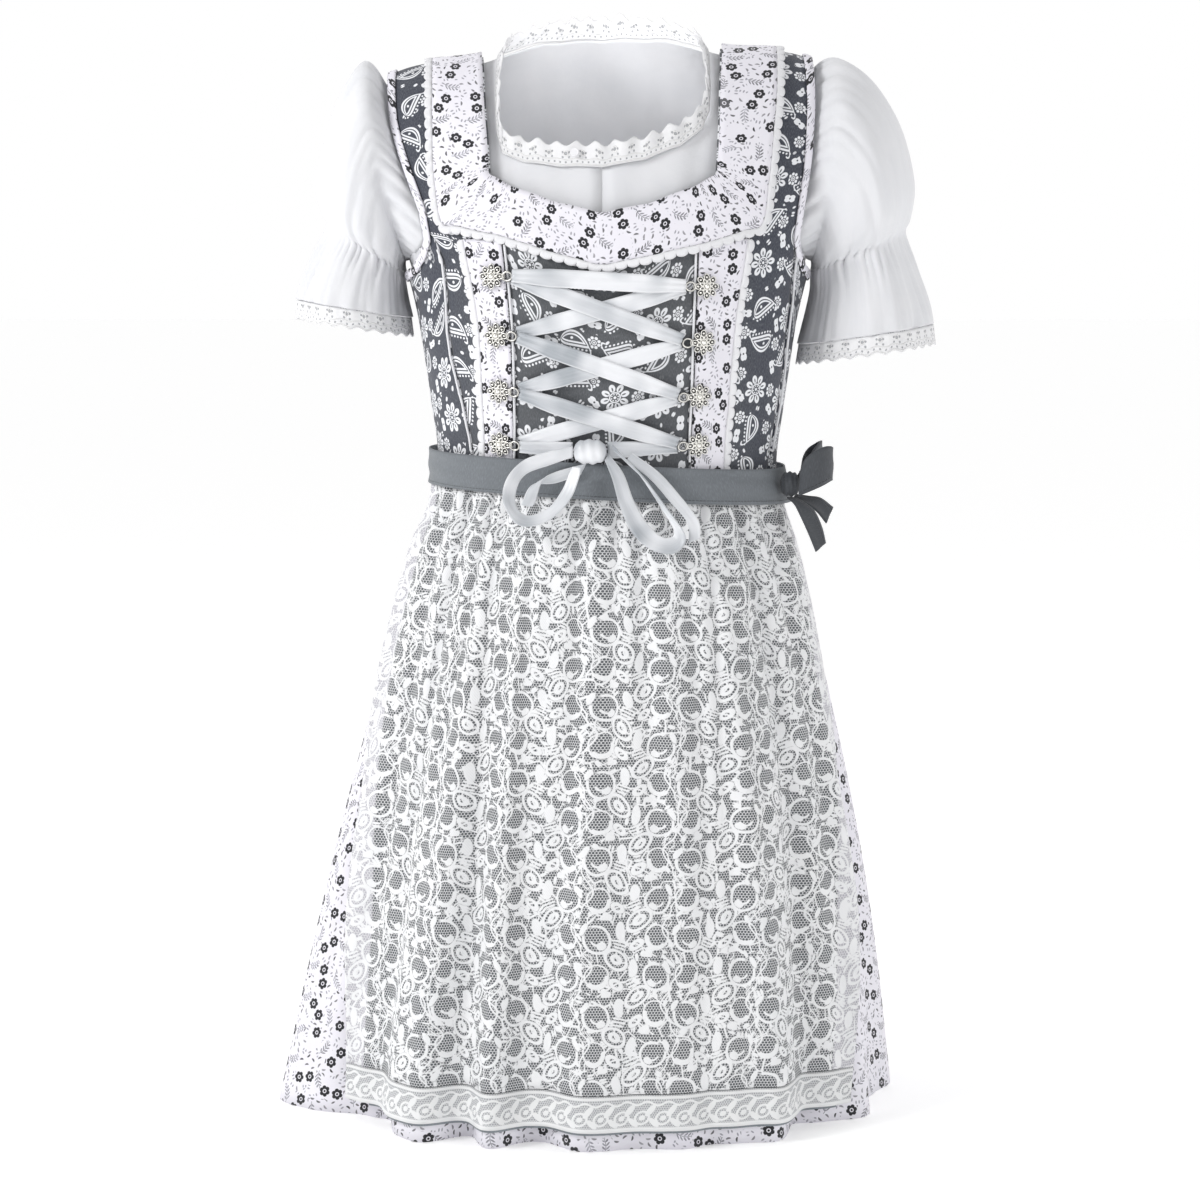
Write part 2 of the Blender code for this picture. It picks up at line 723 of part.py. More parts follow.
def build_bodice():
    gap = 0.16
    waist = WAIST_Z - UNDERARM_Z
    seam_left = front_edge(PLACKET_INNER_LEFT) + [front(-73.4, -85.0)]
    seam_right = front_edge(PLACKET_INNER_RIGHT) + [front(74.6, -85.0)]
    seam_left[0] = (seam_left[0][0], waist)
    seam_right[0] = (seam_right[0][0], waist)

    left = walk(shifted(seam_left, gap), 9)
    right = walk(shifted(seam_right, -gap), 9)
    bottom = walk([left[0], right[0]], 8)
    top_edge = [left[-1]] + front_edge(NECKLINE[4:9]) + [right[-1]]
    top = walk(top_edge, 8)
    places = patch(bottom, top, left, right)
    sheet("bodice_front", on_figure(places, BODICE_OUT), BODICE_WALL, PAISLEY)

    for side, tag in ((-1, "left"), (1, "right")):
        princess = front_edge(PRINCESS_LEFT if side < 0 else PRINCESS_RIGHT)
        princess[0] = (princess[0][0], waist)
        upper, lower = armhole_split(side, MEETING_LEVEL)
        meeting = upper[-1]
        princess.append(meeting)
        upper[0] = (upper[0][0], RIDGE - SEAM_GAP)

        seam = walk(princess, 8)
        hole = walk(upper, 9)[::-1]
        neck = NECKLINE[:3][::-1] if side < 0 else NECKLINE[10:]
        outer = shifted(seam, -side * gap) + shifted(hole, -side * gap)[1:]
        seams = {-1: left, 1: right}
        inner = shifted(seams[side], 2.0 * side * gap)
        neck_edge = front_edge(neck)
        neck_edge[-1] = (neck_edge[-1][0], RIDGE - SEAM_GAP)
        inner = inner[:-1] + walk([inner[-1]] + neck_edge, 17 - (len(inner) - 1))
        if side < 0:
            places = ruled(outer, inner, 4)
        else:
            places = ruled(inner, outer, 5)
        sheet("bodice_side_front_" + tag, on_figure(places, BODICE_OUT), BODICE_WALL, PAISLEY)

        back_meeting = mirrored_behind(lower, side)[0]
        back_princess = [(148.0 * side, waist), (142.0 * side, -62.0), (132.0 * side, 10.0)]
        back_princess.append(back_meeting)
        armpit = lower + mirrored_behind(lower, side)[::-1][1:]
        back_seam = walk(back_princess, 8)
        front_line = shifted(seam, side * gap)
        back_line = shifted(back_seam, -side * gap)
        armpit[0] = front_line[-1]
        armpit[-1] = back_line[-1]
        top = walk(armpit, 9)
        bottom = walk([(front_line[0][0], waist), (back_line[0][0], waist)], 9)
        if side > 0:
            places = patch(bottom, top, front_line, back_line)
        else:
            places = patch(bottom[::-1], top[::-1], back_line, front_line)
        sheet("bodice_side_" + tag, on_figure(places, BODICE_OUT), BODICE_WALL, PAISLEY)

        back_upper = mirrored_behind(upper, side)[::-1]
        back_upper[-1] = (back_upper[-1][0], RIDGE - SEAM_GAP)
        neck_angle = 180.0 * side - front(*(NECKLINE[0] if side < 0 else NECKLINE[-1]))[0]
        middle = 180.0 * side
        back_inner = [(middle, waist), (middle, 0.0), (middle, 118.0)]
        back_inner += [(middle - side * 8.0, 121.0), (middle - side * 17.0, 134.0)]
        back_inner += [(middle - side * 23.0, 165.0), (neck_angle, 220.0)]
        back_inner += [(neck_angle, RIDGE - SEAM_GAP)]
        outer = shifted(back_seam, side * gap) + shifted(walk(back_upper, 6), side * gap)[1:]
        inner = walk(shifted(back_inner, -side * gap), 14)
        if side > 0:
            places = ruled(outer, inner, 4)
        else:
            places = ruled(inner, outer, 4)
        sheet("bodice_back_" + tag, on_figure(places, BODICE_OUT), BODICE_WALL, PAISLEY)

        cord = princess[:-2] + [blend(princess[-3], princess[-2], 0.5)]
        cord[0] = (cord[0][0], -101.0)
        piping("princess_piping_" + tag, cord, PIPING_OUT, PIPING_RADIUS, 10, WHITE)


def border_stations():
    """Inner and outer places of the neck border, as many of each."""
    inner = front_edge(NECKLINE)
    outer = front_edge(BORDER_EDGE)
    pairs = [(inner[0], outer[0]), (inner[1], outer[1]), (inner[2], outer[2])]
    pairs.append((blend(inner[2], inner[3], 0.8), outer[3]))
    pairs.append((inner[3], outer[4]))
    pairs += [(inner[4], outer[5]), (inner[5], outer[6]), (inner[6], outer[7])]
    pairs += [(inner[7], outer[8]), (inner[8], outer[9])]
    pairs.append((inner[9], outer[10]))
    pairs.append((blend(inner[9], inner[10], 0.2), outer[11]))
    pairs += [(inner[10], outer[12]), (inner[11], outer[13]), (inner[12], outer[14])]
    steps = (5, 3, 2, 1, 3, 3, 3, 3, 3, 3, 1, 2, 3, 5)
    inner_line = []
    outer_line = []
    for (first, second), count in zip(zip(pairs, pairs[1:]), steps):
        for step in range(count):
            inner_line.append(blend(first[0], second[0], step / count))
            outer_line.append(blend(first[1], second[1], step / count))
    inner_line.append(pairs[-1][0])
    outer_line.append(pairs[-1][1])
    for line in (inner_line, outer_line):
        line[0] = (line[0][0], RIDGE - SEAM_GAP)
        line[-1] = (line[-1][0], RIDGE - SEAM_GAP)
    return inner_line, outer_line


def scalloped(name, points, normals, flip, look):
    """An edging beside a row of points, with scallops between each two."""
    inner = []
    outer = []
    last = len(points) - 1
    for spot in range(last):
        length = (points[spot + 1] - points[spot]).length
        steps = 2 * max(1, round(length / SCALLOP_PITCH))
        for step in range(steps + (1 if spot == last - 1 else 0)):
            share = step / steps
            here = points[spot].lerp(points[spot + 1], share)
            normal = normals[spot].lerp(normals[spot + 1], share)
            low = points[spot - 1] if step == 0 and spot > 0 else points[spot]
            aside = (points[spot + 1] - low).cross(normal).normalized() * flip
            inner.append(here + aside * 0.5)
            outer.append(here + aside * SCALLOP_WIDTH[step % 2])
    lines = [outer, inner] if flip > 0 else [inner, outer]
    sheet(name, lines, TRIM_WALL, look)


def edge_points(places, distance):
    points = [outside(*place, distance) for place in places]
    normals = [outside(*place, distance + 1.0) - outside(*place, distance) for place in places]
    return points, normals


def build_borders():
    inner, outer = border_stations()
    places = ruled(outer, inner, 2)
    lines = [[places[c][r] for c in range(len(places))] for r in range(3)]
    sheet("neck_border", on_figure(lines, BORDER_OUT), TRIM_WALL, FLORAL)
    scalloped("neck_border_edging", *edge_points(outer, BORDER_OUT), 1, WHITE)

    for side, tag in ((-1, "left"), (1, "right")):
        inner_edge = front_edge(PLACKET_INNER_LEFT if side < 0 else PLACKET_INNER_RIGHT)
        outer_edge = front_edge(PLACKET_OUTER_LEFT if side < 0 else PLACKET_OUTER_RIGHT)
        inner_line = walk(inner_edge, 12)
        outer_line = walk(outer_edge, 12)
        if side < 0:
            places = ruled(outer_line, inner_line, 2)
        else:
            places = ruled(inner_line, outer_line, 2)
        sheet("placket_" + tag, on_figure(places, TRIM_OUT), TRIM_WALL, FLORAL)
        scalloped("placket_edging_" + tag, *edge_points(outer_line, TRIM_OUT), side, WHITE)
        cord = shifted(inner_edge, -side * 0.9)
        cord[0] = (cord[0][0], -107.0)
        cord[-1] = blend(cord[-2], cord[-1], 0.86 if side < 0 else 0.66)
        piping("placket_piping_" + tag, cord, PIPING_OUT, PIPING_RADIUS, 10, WHITE)

        around = walk(armhole_places(side, 0.0, ARMHOLE_LOW), 16)
        loop = around + mirrored_behind(around, side)[::-1][1:-1]
        edge = []
        body = []
        for index, place in enumerate(loop):
            before = outside(*loop[index - 1], TRIM_OUT)
            after = outside(*loop[(index + 1) % len(loop)], TRIM_OUT)
            here = outside(*place, TRIM_OUT)
            normal = outside(*place, TRIM_OUT + 1.0) - here
            aside = (after - before).cross(normal).normalized()
            edge.append(here)
            body.append(inset_place(place, aside * side, 5.5))
        if side > 0:
            lines = [body, edge]
        else:
            lines = [edge, body]
        sheet("armhole_binding_" + tag, lines, TRIM_WALL, FLORAL, closed=True)


def inset_place(place, aside, width):
    """A point of the trim layer beside a place, in a direction along the cloth."""
    angle, level = place
    here = outside(angle, level, TRIM_OUT)
    across = outside(angle + 1.0, level, TRIM_OUT) - here
    upward = outside(angle, level + 1.0, TRIM_OUT) - here
    wanted = aside * width
    a = across.dot(across)
    b = across.dot(upward)
    c = upward.dot(upward)
    p = wanted.dot(across)
    q = wanted.dot(upward)
    scale = a * c - b * b
    angle_step = (p * c - q * b) / scale
    level_step = (q * a - p * b) / scale
    return outside(angle + angle_step, level + level_step, TRIM_OUT)


def blouse_neck_half(side):
    """The blouse's front neckline from the ridge to the middle."""
    table = BLOUSE_NECK[:7] if side < 0 else BLOUSE_NECK[6:][::-1]
    places = front_edge(table)
    x = table[0][0]
    places[0] = (angle_of(x, RIDGE), RIDGE - SEAM_GAP)
    return places


def blouse_back_neck():
    """The back neckline on the back of the figure, viewer's right to left."""
    right = 180.0 - angle_of(71.0, RIDGE)
    left = 180.0 - angle_of(-70.0, RIDGE)
    places = [(right, RIDGE - SEAM_GAP), (right + 4.0, 226.0), (167.0, 194.0)]
    places += [(180.0, BLOUSE_BACK_LEVEL), (193.0, 194.0)]
    places += [(left - 4.0, 226.0), (left, RIDGE - SEAM_GAP)]
    return places


def blouse_hole(side, grow, low):
    """The blouse's armhole as the sleeve's first ring samples it, ridge to underarm."""
    return walk(armhole_places(side, grow, low), SLEEVE_POINTS // 2)


def build_blouse():
    gap = 0.16
    hem = BLOUSE_HEM_LEVEL
    low = ARMHOLE_LOW + 9.0
    outer_edges = {}
    for side, tag in ((-1, "left"), (1, "right")):
        neck = blouse_neck_half(side)
        hole = blouse_hole(side, 1.2, low)
        hole[0] = (hole[0][0], RIDGE - SEAM_GAP)
        outer = [(90.0 * side, hem), (90.0 * side, hem / 2.0), (90.0 * side, 0.0)] + hole[::-1]
        outer_edges[side] = mirrored_behind(outer, side)
        outer = shifted(outer, -side * gap)
        middle = walk([(side * gap, hem), (side * gap, neck[-1][1])] + neck[::-1][1:],
                      len(outer) - 1)
        if side < 0:
            places = ruled(outer, middle, 6)
        else:
            places = ruled(middle, outer, 6)
        sheet("blouse_front_" + tag, on_figure(places, BLOUSE_OUT), BLOUSE_WALL, WHITE)

    right_edge = shifted(outer_edges[1], gap)
    left_edge = [(360.0 + angle - gap, level) for angle, level in outer_edges[-1]]
    top = walk([right_edge[-1]] + blouse_back_neck() + [left_edge[-1]], 12)
    bottom = walk([right_edge[0], left_edge[0]], 12)
    places = even_panel(bottom, top, right_edge, left_edge)
    sheet("blouse_back", on_figure(places, BLOUSE_OUT), BLOUSE_WALL, WHITE)

    loop = blouse_neck_half(-1)[:-1] + blouse_neck_half(1)[::-1]
    front_line = walk(loop, 24)
    back_line = walk(blouse_back_neck(), 14)
    base = []
    top_line = []
    for index, (angle, level) in enumerate(front_line[:-1] + back_line[:-1]):
        here = outside(angle, level, BLOUSE_OUT + BLOUSE_WALL + 2.0)
        share = level / RIDGE
        upward = (figure(angle, level + 1.0) - figure(angle, level)).normalized()
        inward = Vector((-math.copysign(1.0, here.x) * min(1.0, abs(here.x) / 40.0), 0.0, 0.0))
        lean = upward * (1.0 - share * share) + inward * (0.75 * share * share)
        lean = (lean + Vector((0.0, 0.0, 0.5 + 0.4 * share))).normalized()
        normal = outside(angle, level, 1.0) - figure(angle, level)
        ripple = normal * (1.4 if index % 2 else 0.0)
        base.append(here - lean * 1.5)
        top_line.append(here + lean * LACE_HEIGHT + ripple)
    sheet("blouse_neck_lace", [base, top_line], 0.8, LACE, closed=True)

    disc = bpy.data.meshes.new("blouse_button")
    shape = bmesh.new()
    bmesh.ops.create_cone(shape, cap_ends=True, segments=BUTTON_SIDES, radius1=BUTTON_RADIUS * MM,
                          radius2=BUTTON_RADIUS * MM, depth=BUTTON_DEPTH * MM)
    bmesh.ops.translate(shape, verts=shape.verts, vec=(0.0, 0.0, BUTTON_DEPTH * MM / 2.0))
    shape.to_mesh(disc)
    shape.free()
    button = add_object("blouse_button", disc, WHITE)
    lay_on_figure(button, BUTTON[0], BUTTON[1], BUTTON_OUT, 1.0)


def lay_on_figure(thing, x, z, distance, side):
    """Puts a flat thing on the figure's front, its local X along side."""
    angle, level = front(x, z)
    here = outside(angle, level, distance)
    normal = outside(angle, level, distance + 1.0) - here
    right = Vector((side, 0.0, 0.0))
    right = (right - normal * right.dot(normal)).normalized()
    upward = normal.cross(right)
    pose = Matrix((right, upward, normal)).transposed().to_4x4()
    thing.location = here * MM
    thing.rotation_euler = pose.to_euler()


def sleeve_ring(row, wave, wave_size):
    outer_x, outer_z, inner_x, inner_z, half_depth = row
    outer = Vector((outer_x, 0.0, outer_z))
    inner = Vector((inner_x, 0.0, inner_z))
    middle = (outer + inner) / 2.0
    points = []
    for step in range(SLEEVE_POINTS):
        turn = math.radians(360.0 * step / SLEEVE_POINTS)
        free = 0.5 + 0.5 * math.cos(turn)
        push = 1.0 + wave_size * free * math.cos(wave * turn) / half_depth
        point = middle + (outer - middle) * math.cos(turn) * push
        point.y = -half_depth * math.sin(turn) * push
        points.append(point)
    return points


def build_sleeves():
    for side, tag in ((-1, "left"), (1, "right")):
        front_half = blouse_hole(side, SLEEVE_START, ARMHOLE_LOW + 11.0)
        back_half = mirrored_behind(front_half, side)[::-1]
        start = [outside(*place, BLOUSE_OUT) for place in front_half]
        start += [outside(*place, BLOUSE_OUT) for place in back_half[1:-1]]
        rings = [start]
        table = SLEEVE_LEFT if side < 0 else SLEEVE_RIGHT
        waves = (1.5, 2.0, 2.0, 1.6, 1.2, 0.8, 1.6, 2.0, 2.2)
        for row, wave_size in zip(table, waves):
            rings.append(sleeve_ring(row, SLEEVE_WAVES, wave_size))
        cuff = CUFF_LEFT if side < 0 else CUFF_RIGHT
        cuff = [sleeve_ring(row, SLEEVE_WAVES, 2.2) for row in cuff]
        if side > 0:
            rings = [ring[::-1] for ring in rings]
            cuff = [ring[::-1] for ring in cuff]
        rings = rings[::-1]
        cuff = cuff[::-1]
        sheet("sleeve_" + tag, rings, SLEEVE_WALL, WHITE, closed=True)
        sheet("cuff_lace_" + tag, cuff, SLEEVE_WALL, LACE, closed=True)


def fold_columns():
    """The skirt's angles: crests, valleys and the places between them."""
    angles = []
    for index, fold in enumerate(FOLDS):
        following = FOLDS[(index + 1) % len(FOLDS)][0]
        if following <= fold[0]:
            following += 360.0
        for start, end in ((fold[0], fold[1]), (fold[1], following)):
            steps = max(2, round((end - start) / 6.5))
            angles += [start + (end - start) * step / steps for step in range(steps)]
    return angles


def fold_shape(angle):
    """How deep, and how far out, the skirt's folds are at an angle."""
    first = FOLDS[0][0]
    angle = first + (angle - first) % 360.0
    for index, fold in enumerate(FOLDS):
        later = FOLDS[(index + 1) % len(FOLDS)]
        following = later[0] if later[0] > fold[0] else later[0] + 360.0
        if angle < following:
            break
    if angle <= fold[1]:
        share = (angle - fold[0]) / (fold[1] - fold[0])
        reach = fold[3] * (0.5 + 0.5 * math.cos(math.pi * share))
    else:
        share = (following - angle) / (following - fold[1])
        reach = later[3] * (0.5 + 0.5 * math.cos(math.pi * share))
    return fold[2] * (0.5 - 0.5 * math.cos(math.pi * share)), reach


def skirt_point(angle, z, distance, fold_share):
    down = max(0.0, min(1.0, (WAIST_Z - z) / (WAIST_Z - SKIRT_HEM_Z)))
    strength = FOLD_AT_WAIST + (1.0 - FOLD_AT_WAIST) * down ** 0.85
    power = SECTION_POWER - 0.2 * down
    turn = math.radians(angle)
    across = signed_power(math.sin(turn), 2.0 / power)
    forward = signed_power(math.cos(turn), 2.0 / power)
    upside = -z
    table = SKIRT_BY_DROP
    half_width = read(table, 1, upside)
    half_depth = read(table, 2 if forward > 0 else 3, upside)
    shift = read(table, 4, upside)
    x = half_width * across + shift * across * across
    y = -half_depth * forward
    normal = Vector((signed_power(across, power - 1.0) / half_width,
                     -signed_power(forward, power - 1.0) / half_depth, 0.0)).normalized()
    depth, reach = fold_shape(angle)
    move = distance + reach * down - depth * strength * fold_share
    return Vector((x, y, z)) + normal * move


SKIRT_BY_DROP = tuple((-row[0],) + tuple(row[1:]) for row in SKIRT)
APRON_EDGES_BY_DROP = tuple((-row[0],) + tuple(row[1:]) for row in APRON_EDGES)


def apron_line(z, distance, growth, first, last):
    left = read(APRON_EDGES_BY_DROP, 1, -z)
    right = read(APRON_EDGES_BY_DROP, 2, -z)
    down = max(0.0, min(1.0, (WAIST_Z - z) / (WAIST_Z - SKIRT_HEM_Z)))
    away = distance + growth * math.sqrt(down)
    line = []
    for column in range(first, last + 1):
        angle = left + (right - left) * column / APRON_COLUMNS
        point = skirt_point(angle, z, away, APRON_FOLD_SHARE)
        tilted = z + APRON_TILT * point.x * (1.0 - down) ** 3
        line.append(skirt_point(angle, tilted, away, APRON_FOLD_SHARE))
    return line


def build_skirt():
    angles = fold_columns()
    lines = []
    for z in SKIRT_ROWS[::-1]:
        lines.append([skirt_point(angle, z, 0.0, 1.0) for angle in angles])
    sheet("skirt", lines, SKIRT_WALL, FLORAL, closed=True)


def build_apron():
    rows = APRON_ROWS + (APRON_HEM_Z - 2.0,)
    first = UNDERLAY_COLUMNS[0]
    last = UNDERLAY_COLUMNS[1]
    lines = [apron_line(z, UNDERLAY_OUT, UNDERLAY_OUT_GROWTH, first, last) for z in rows[::-1]]
    sheet("apron_underlay", lines, APRON_WALL, GREY)
    rows = APRON_ROWS + (LACE_STRIP_TOP_Z + 0.5,)
    last = APRON_COLUMNS
    lines = [apron_line(z, LACE_OUT, LACE_OUT_GROWTH, 0, last) for z in rows[::-1]]
    sheet("apron_lace", lines, APRON_WALL, APRON_LACE)
    rows = (APRON_HEM_Z, LACE_STRIP_TOP_Z)
    lines = [apron_line(z, LACE_OUT, LACE_OUT_GROWTH, 0, last) for z in rows]
    sheet("apron_lace_hem", lines, APRON_WALL, LACE)

    count = 48
    lines = []
    for drop in (BAND_HEIGHT, 0.0):
        line = []
        for step in range(count):
            angle = 360.0 * step / count
            side = figure(angle, -118.0).x
            z = BAND_TOP_Z - drop + APRON_TILT * side
            line.append(outside(angle, z - UNDERARM_Z, BAND_OUT))
        lines.append(line)
    sheet("apron_band", lines, BAND_WALL, GREY, closed=True)
    lump("apron_bow_knot", BOW_KNOT, BOW_KNOT_SIZE, GREY)
    strip("apron_bow_loop_front", BOW_LOOP_FRONT, 2, 1.0, GREY)
    strip("apron_bow_loop_back", BOW_LOOP_BACK, 2, 1.0, GREY)
    strip("apron_bow_tail_front", BOW_TAIL_FRONT, 2, 1.0, GREY)
    strip("apron_bow_tail_back", BOW_TAIL_BACK, 2, 1.0, GREY)


def build_hooks():
    for name, x, z in HOOKS:
        mesh = bpy.data.meshes.new(name)
        count = len(HOOK_OUTLINE)
        vertices = []
        for height, share in HOOK_LEVELS:
            for u, v in HOOK_OUTLINE:
                vertices.append(Vector((u * share, v * share, height)) * MM)
        for height, radius in HOOK_DOME:
            for u, v in HOOK_OUTLINE:
                reach = Vector((u, v, 0.0)).normalized() * radius
                vertices.append(Vector((reach.x, reach.y, height)) * MM)
        faces = [tuple(range(count))[::-1]]
        rings = len(HOOK_LEVELS) + len(HOOK_DOME)
        for ring in range(rings - 1):
            for step in range(count):
                after = (step + 1) % count
                faces.append((ring * count + step, ring * count + after,
                              (ring + 1) * count + after, (ring + 1) * count + step))
        faces.append(tuple((rings - 1) * count + step for step in range(count)))
        mesh.from_pydata(vertices, [], faces)
        hook = add_object(name, mesh, SILVER)
        lay_on_figure(hook, x, z, HOOK_OUT, 1.0 if x < 0 else -1.0)


def build_ribbon():
    for name, x0, z0, x1, z1, distance in RIBBON_RUNS:
        steps = 4 if name.startswith("ribbon_run_4") else 8
        low = []
        high = []
        slope = math.atan2(z1 - z0, x1 - x0)
        for step in range(steps + 1):
            share = step / steps
            x = x0 + (x1 - x0) * share
            z = z0 + (z1 - z0) * share
            wide = min(1.0, min(share, 1.0 - share) * steps / 2.0)
            if name == "ribbon_run_4_left":
                wide = min(1.0, share * 2.0)
            if name == "ribbon_run_4_right":
                wide = min(1.0, (1.0 - share) * 2.0)
            width = RIBBON_END_WIDTH + (RIBBON_WIDTH - RIBBON_END_WIDTH) * wide
            aside = (-math.sin(slope) * width / 2.0, math.cos(slope) * width / 2.0)
            low.append(outside(*front(x - aside[0], z - aside[1]), distance))
            high.append(outside(*front(x + aside[0], z + aside[1]), distance))
        sheet(name, [low, high], RIBBON_WALL, SATIN)
    lump("ribbon_knot", RIBBON_KNOT, RIBBON_KNOT_SIZE, SATIN)
    strip("ribbon_loop_left", RIBBON_LOOP_LEFT, 2, RIBBON_WALL, SATIN)
    strip("ribbon_loop_right", RIBBON_LOOP_RIGHT, 2, RIBBON_WALL, SATIN)
    strip("ribbon_end_left", RIBBON_END_LEFT, 2, RIBBON_WALL, SATIN)
    strip("ribbon_end_right", RIBBON_END_RIGHT, 2, RIBBON_WALL, SATIN)


for old in list(bpy.data.objects):
    bpy.data.objects.remove(old)
parts = bpy.data.collections.new("dirndl")
bpy.context.scene.collection.children.link(parts)

build_bodice()
build_borders()
build_blouse()
build_sleeves()
build_skirt()
build_apron()
build_hooks()
build_ribbon()
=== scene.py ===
# %% [markdown]
# A dirndl set, dressed over its CAD frame. The CAD model has every piece as a plain solid wall;
# this lesson gives each one its finer form, its cloth and its stitching. All lengths in the
# tables are millimetres, and points turn into metres only when a mesh is made.

# %% Load the frame
import math

import bmesh
import bpy
from mathutils import Matrix, Vector, noise


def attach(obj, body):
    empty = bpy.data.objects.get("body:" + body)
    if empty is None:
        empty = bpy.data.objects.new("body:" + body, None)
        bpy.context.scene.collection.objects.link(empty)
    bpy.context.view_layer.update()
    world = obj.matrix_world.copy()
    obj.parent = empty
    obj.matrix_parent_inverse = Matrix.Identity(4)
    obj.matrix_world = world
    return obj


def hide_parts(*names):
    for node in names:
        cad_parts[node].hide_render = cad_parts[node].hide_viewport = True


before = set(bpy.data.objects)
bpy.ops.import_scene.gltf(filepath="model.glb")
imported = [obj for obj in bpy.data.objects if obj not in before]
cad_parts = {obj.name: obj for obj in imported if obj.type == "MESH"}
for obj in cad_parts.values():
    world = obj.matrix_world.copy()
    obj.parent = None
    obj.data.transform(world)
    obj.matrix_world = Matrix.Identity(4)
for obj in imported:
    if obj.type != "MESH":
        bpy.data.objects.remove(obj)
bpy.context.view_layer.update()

MM = 0.001
TO_MM = 1000.0

# %% [markdown]
# The camera comes first, so that every later look is judged from the photograph's place. The
# picture was taken from about two metres, a little above the waist and tilted slightly down,
# with a long lens: the sides of the skirt hardly show, and the hem curves only a little.

# %% Camera
CAMERA_TILT = 6.39
lens = bpy.data.cameras.new("studio_camera")
lens.sensor_width = 36.0
lens.lens = 85.7
camera = bpy.data.objects.new("studio_camera", lens)
camera.location = (-0.0014, -2.0, -0.154)
camera.rotation_euler = (math.radians(90.0 - CAMERA_TILT), 0.0, 0.0)
bpy.context.scene.collection.objects.link(camera)
bpy.context.scene.camera = camera
print("camera at", tuple(camera.location))

# %% [markdown]
# Every layer hangs on one general figure, a rounded section whose size changes with the level.
# A place on the cloth is an angle round the figure and a level up the girth; a layer is the
# same place at its own distance outside. Nested layers then never cut each other.

# %% The general figure
# Levels are millimetres along the girth: minus is below the underarm line, and the
# shoulder ridge is at level RIDGE.
UNDERARM_Z = -168.0
RIDGE = 264.0
SECTION_POWER = 2.4
SIDE_SHIFT = 4.0
SHOULDER_TILT = 0.035
# level, half width, half depth in front, half depth behind
FIGURE = (
    (-150.0, 122.0, 95.0, 87.5),
    (-117.0, 115.0, 88.0, 81.0),
    (-62.0, 121.0, 95.0, 89.0),
    (0.0, 131.0, 100.0, 95.0),
    (60.0, 147.0, 100.0, 95.0),
    (130.0, 160.0, 100.0, 95.0),
    (264.0, 165.0, 100.0, 95.0),
    (330.0, 165.0, 100.0, 95.0),
)
# distance from the middle, height of the shoulder ridge over the underarm line
SHOULDER = (
    (-40.0, 187.0),
    (0.0, 200.0),
    (40.0, 187.0),
    (60.0, 176.0),
    (74.0, 169.5),
    (86.0, 166.5),
    (104.0, 165.0),
    (118.0, 164.0),
    (132.0, 161.5),
    (146.0, 157.0),
    (170.0, 150.0),
)


def read(table, column, at):
    """The value of a table's column at a place, on a smooth curve."""
    if at <= table[0][0]:
        return table[0][column]
    if at >= table[-1][0]:
        return table[-1][column]
    row = 0
    while table[row + 1][0] < at:
        row += 1

    def slope(index):
        low = max(index - 1, 0)
        high = min(index + 1, len(table) - 1)
        return (table[high][column] - table[low][column]) / (table[high][0] - table[low][0])

    span = table[row + 1][0] - table[row][0]
    share = (at - table[row][0]) / span
    square = share * share
    cube = square * share
    value = (2 * cube - 3 * square + 1) * table[row][column]
    value += (cube - 2 * square + share) * span * slope(row)
    value += (3 * square - 2 * cube) * table[row + 1][column]
    value += (cube - square) * span * slope(row + 1)
    return value


def signed_power(value, power):
    return math.copysign(abs(value) ** power, value)


def half_turn(angle):
    """The same angle, from -180 to 180 degrees."""
    return (angle + 180.0) % 360.0 - 180.0


def shoulder_height(x):
    return read(SHOULDER, 1, abs(x)) + SHOULDER_TILT * x


def figure(angle, level):
    """A point of the figure: angle 0 in front, growing to the viewer's right."""
    if level > RIDGE:
        angle = 180.0 - angle
        level = 2.0 * RIDGE - level
    across = signed_power(math.sin(math.radians(angle)), 2.0 / SECTION_POWER)
    forward = signed_power(math.cos(math.radians(angle)), 2.0 / SECTION_POWER)
    x = read(FIGURE, 1, level) * across + SIDE_SHIFT * across * across
    depth = read(FIGURE, 2 if forward > 0 else 3, level)
    if level <= 0:
        return Vector((x, -depth * forward, UNDERARM_Z + level))
    rise = math.radians(90.0 * level / RIDGE)
    z = UNDERARM_Z + shoulder_height(x) * math.sin(rise)
    return Vector((x, -depth * forward * math.cos(rise), z))


def outside(angle, level, distance):
    """A point at a distance outside the figure."""
    step = 0.5
    across = figure(angle + step, level) - figure(angle - step, level)
    upward = figure(angle, level + step) - figure(angle, level - step)
    return figure(angle, level) + across.cross(upward).normalized() * distance


def angle_of(x, level):
    """The angle, in front, at which the figure has this x."""
    width = read(FIGURE, 1, level)
    share = (math.sqrt(width * width + 4 * SIDE_SHIFT * x) - width) / (2 * SIDE_SHIFT)
    sine = signed_power(share, SECTION_POWER / 2.0)
    return math.degrees(math.asin(max(-1.0, min(1.0, sine))))


def level_of(x, z):
    """The level, in front, at which the figure has this x and z."""
    if z <= UNDERARM_Z:
        return z - UNDERARM_Z
    share = min(1.0, (z - UNDERARM_Z) / shoulder_height(x))
    return RIDGE / 90.0 * math.degrees(math.asin(share))


def front(x, z):
    level = level_of(x, z)
    return (angle_of(x, level), level)


def front_edge(table):
    return [front(x, z) for x, z in table]


print("shoulder ridge at", round(figure(45.0, RIDGE).z, 1), "mm")

# %% [markdown]
# Edges are lists of places. They are walked at even steps, and panels are filled between them,
# which is how a pattern cutter grades a panel from its outline.

# %% Edges and panels
EDGE_FINE = 6


def blend(start, end, share):
    return tuple(a + (b - a) * share for a, b in zip(start, end))


def lengths_along(points, closed):
    lengths = [0.0]
    chain = points + points[:1] if closed else points
    for before, after in zip(chain, chain[1:]):
        lengths.append(lengths[-1] + (after - before).length)
    return lengths


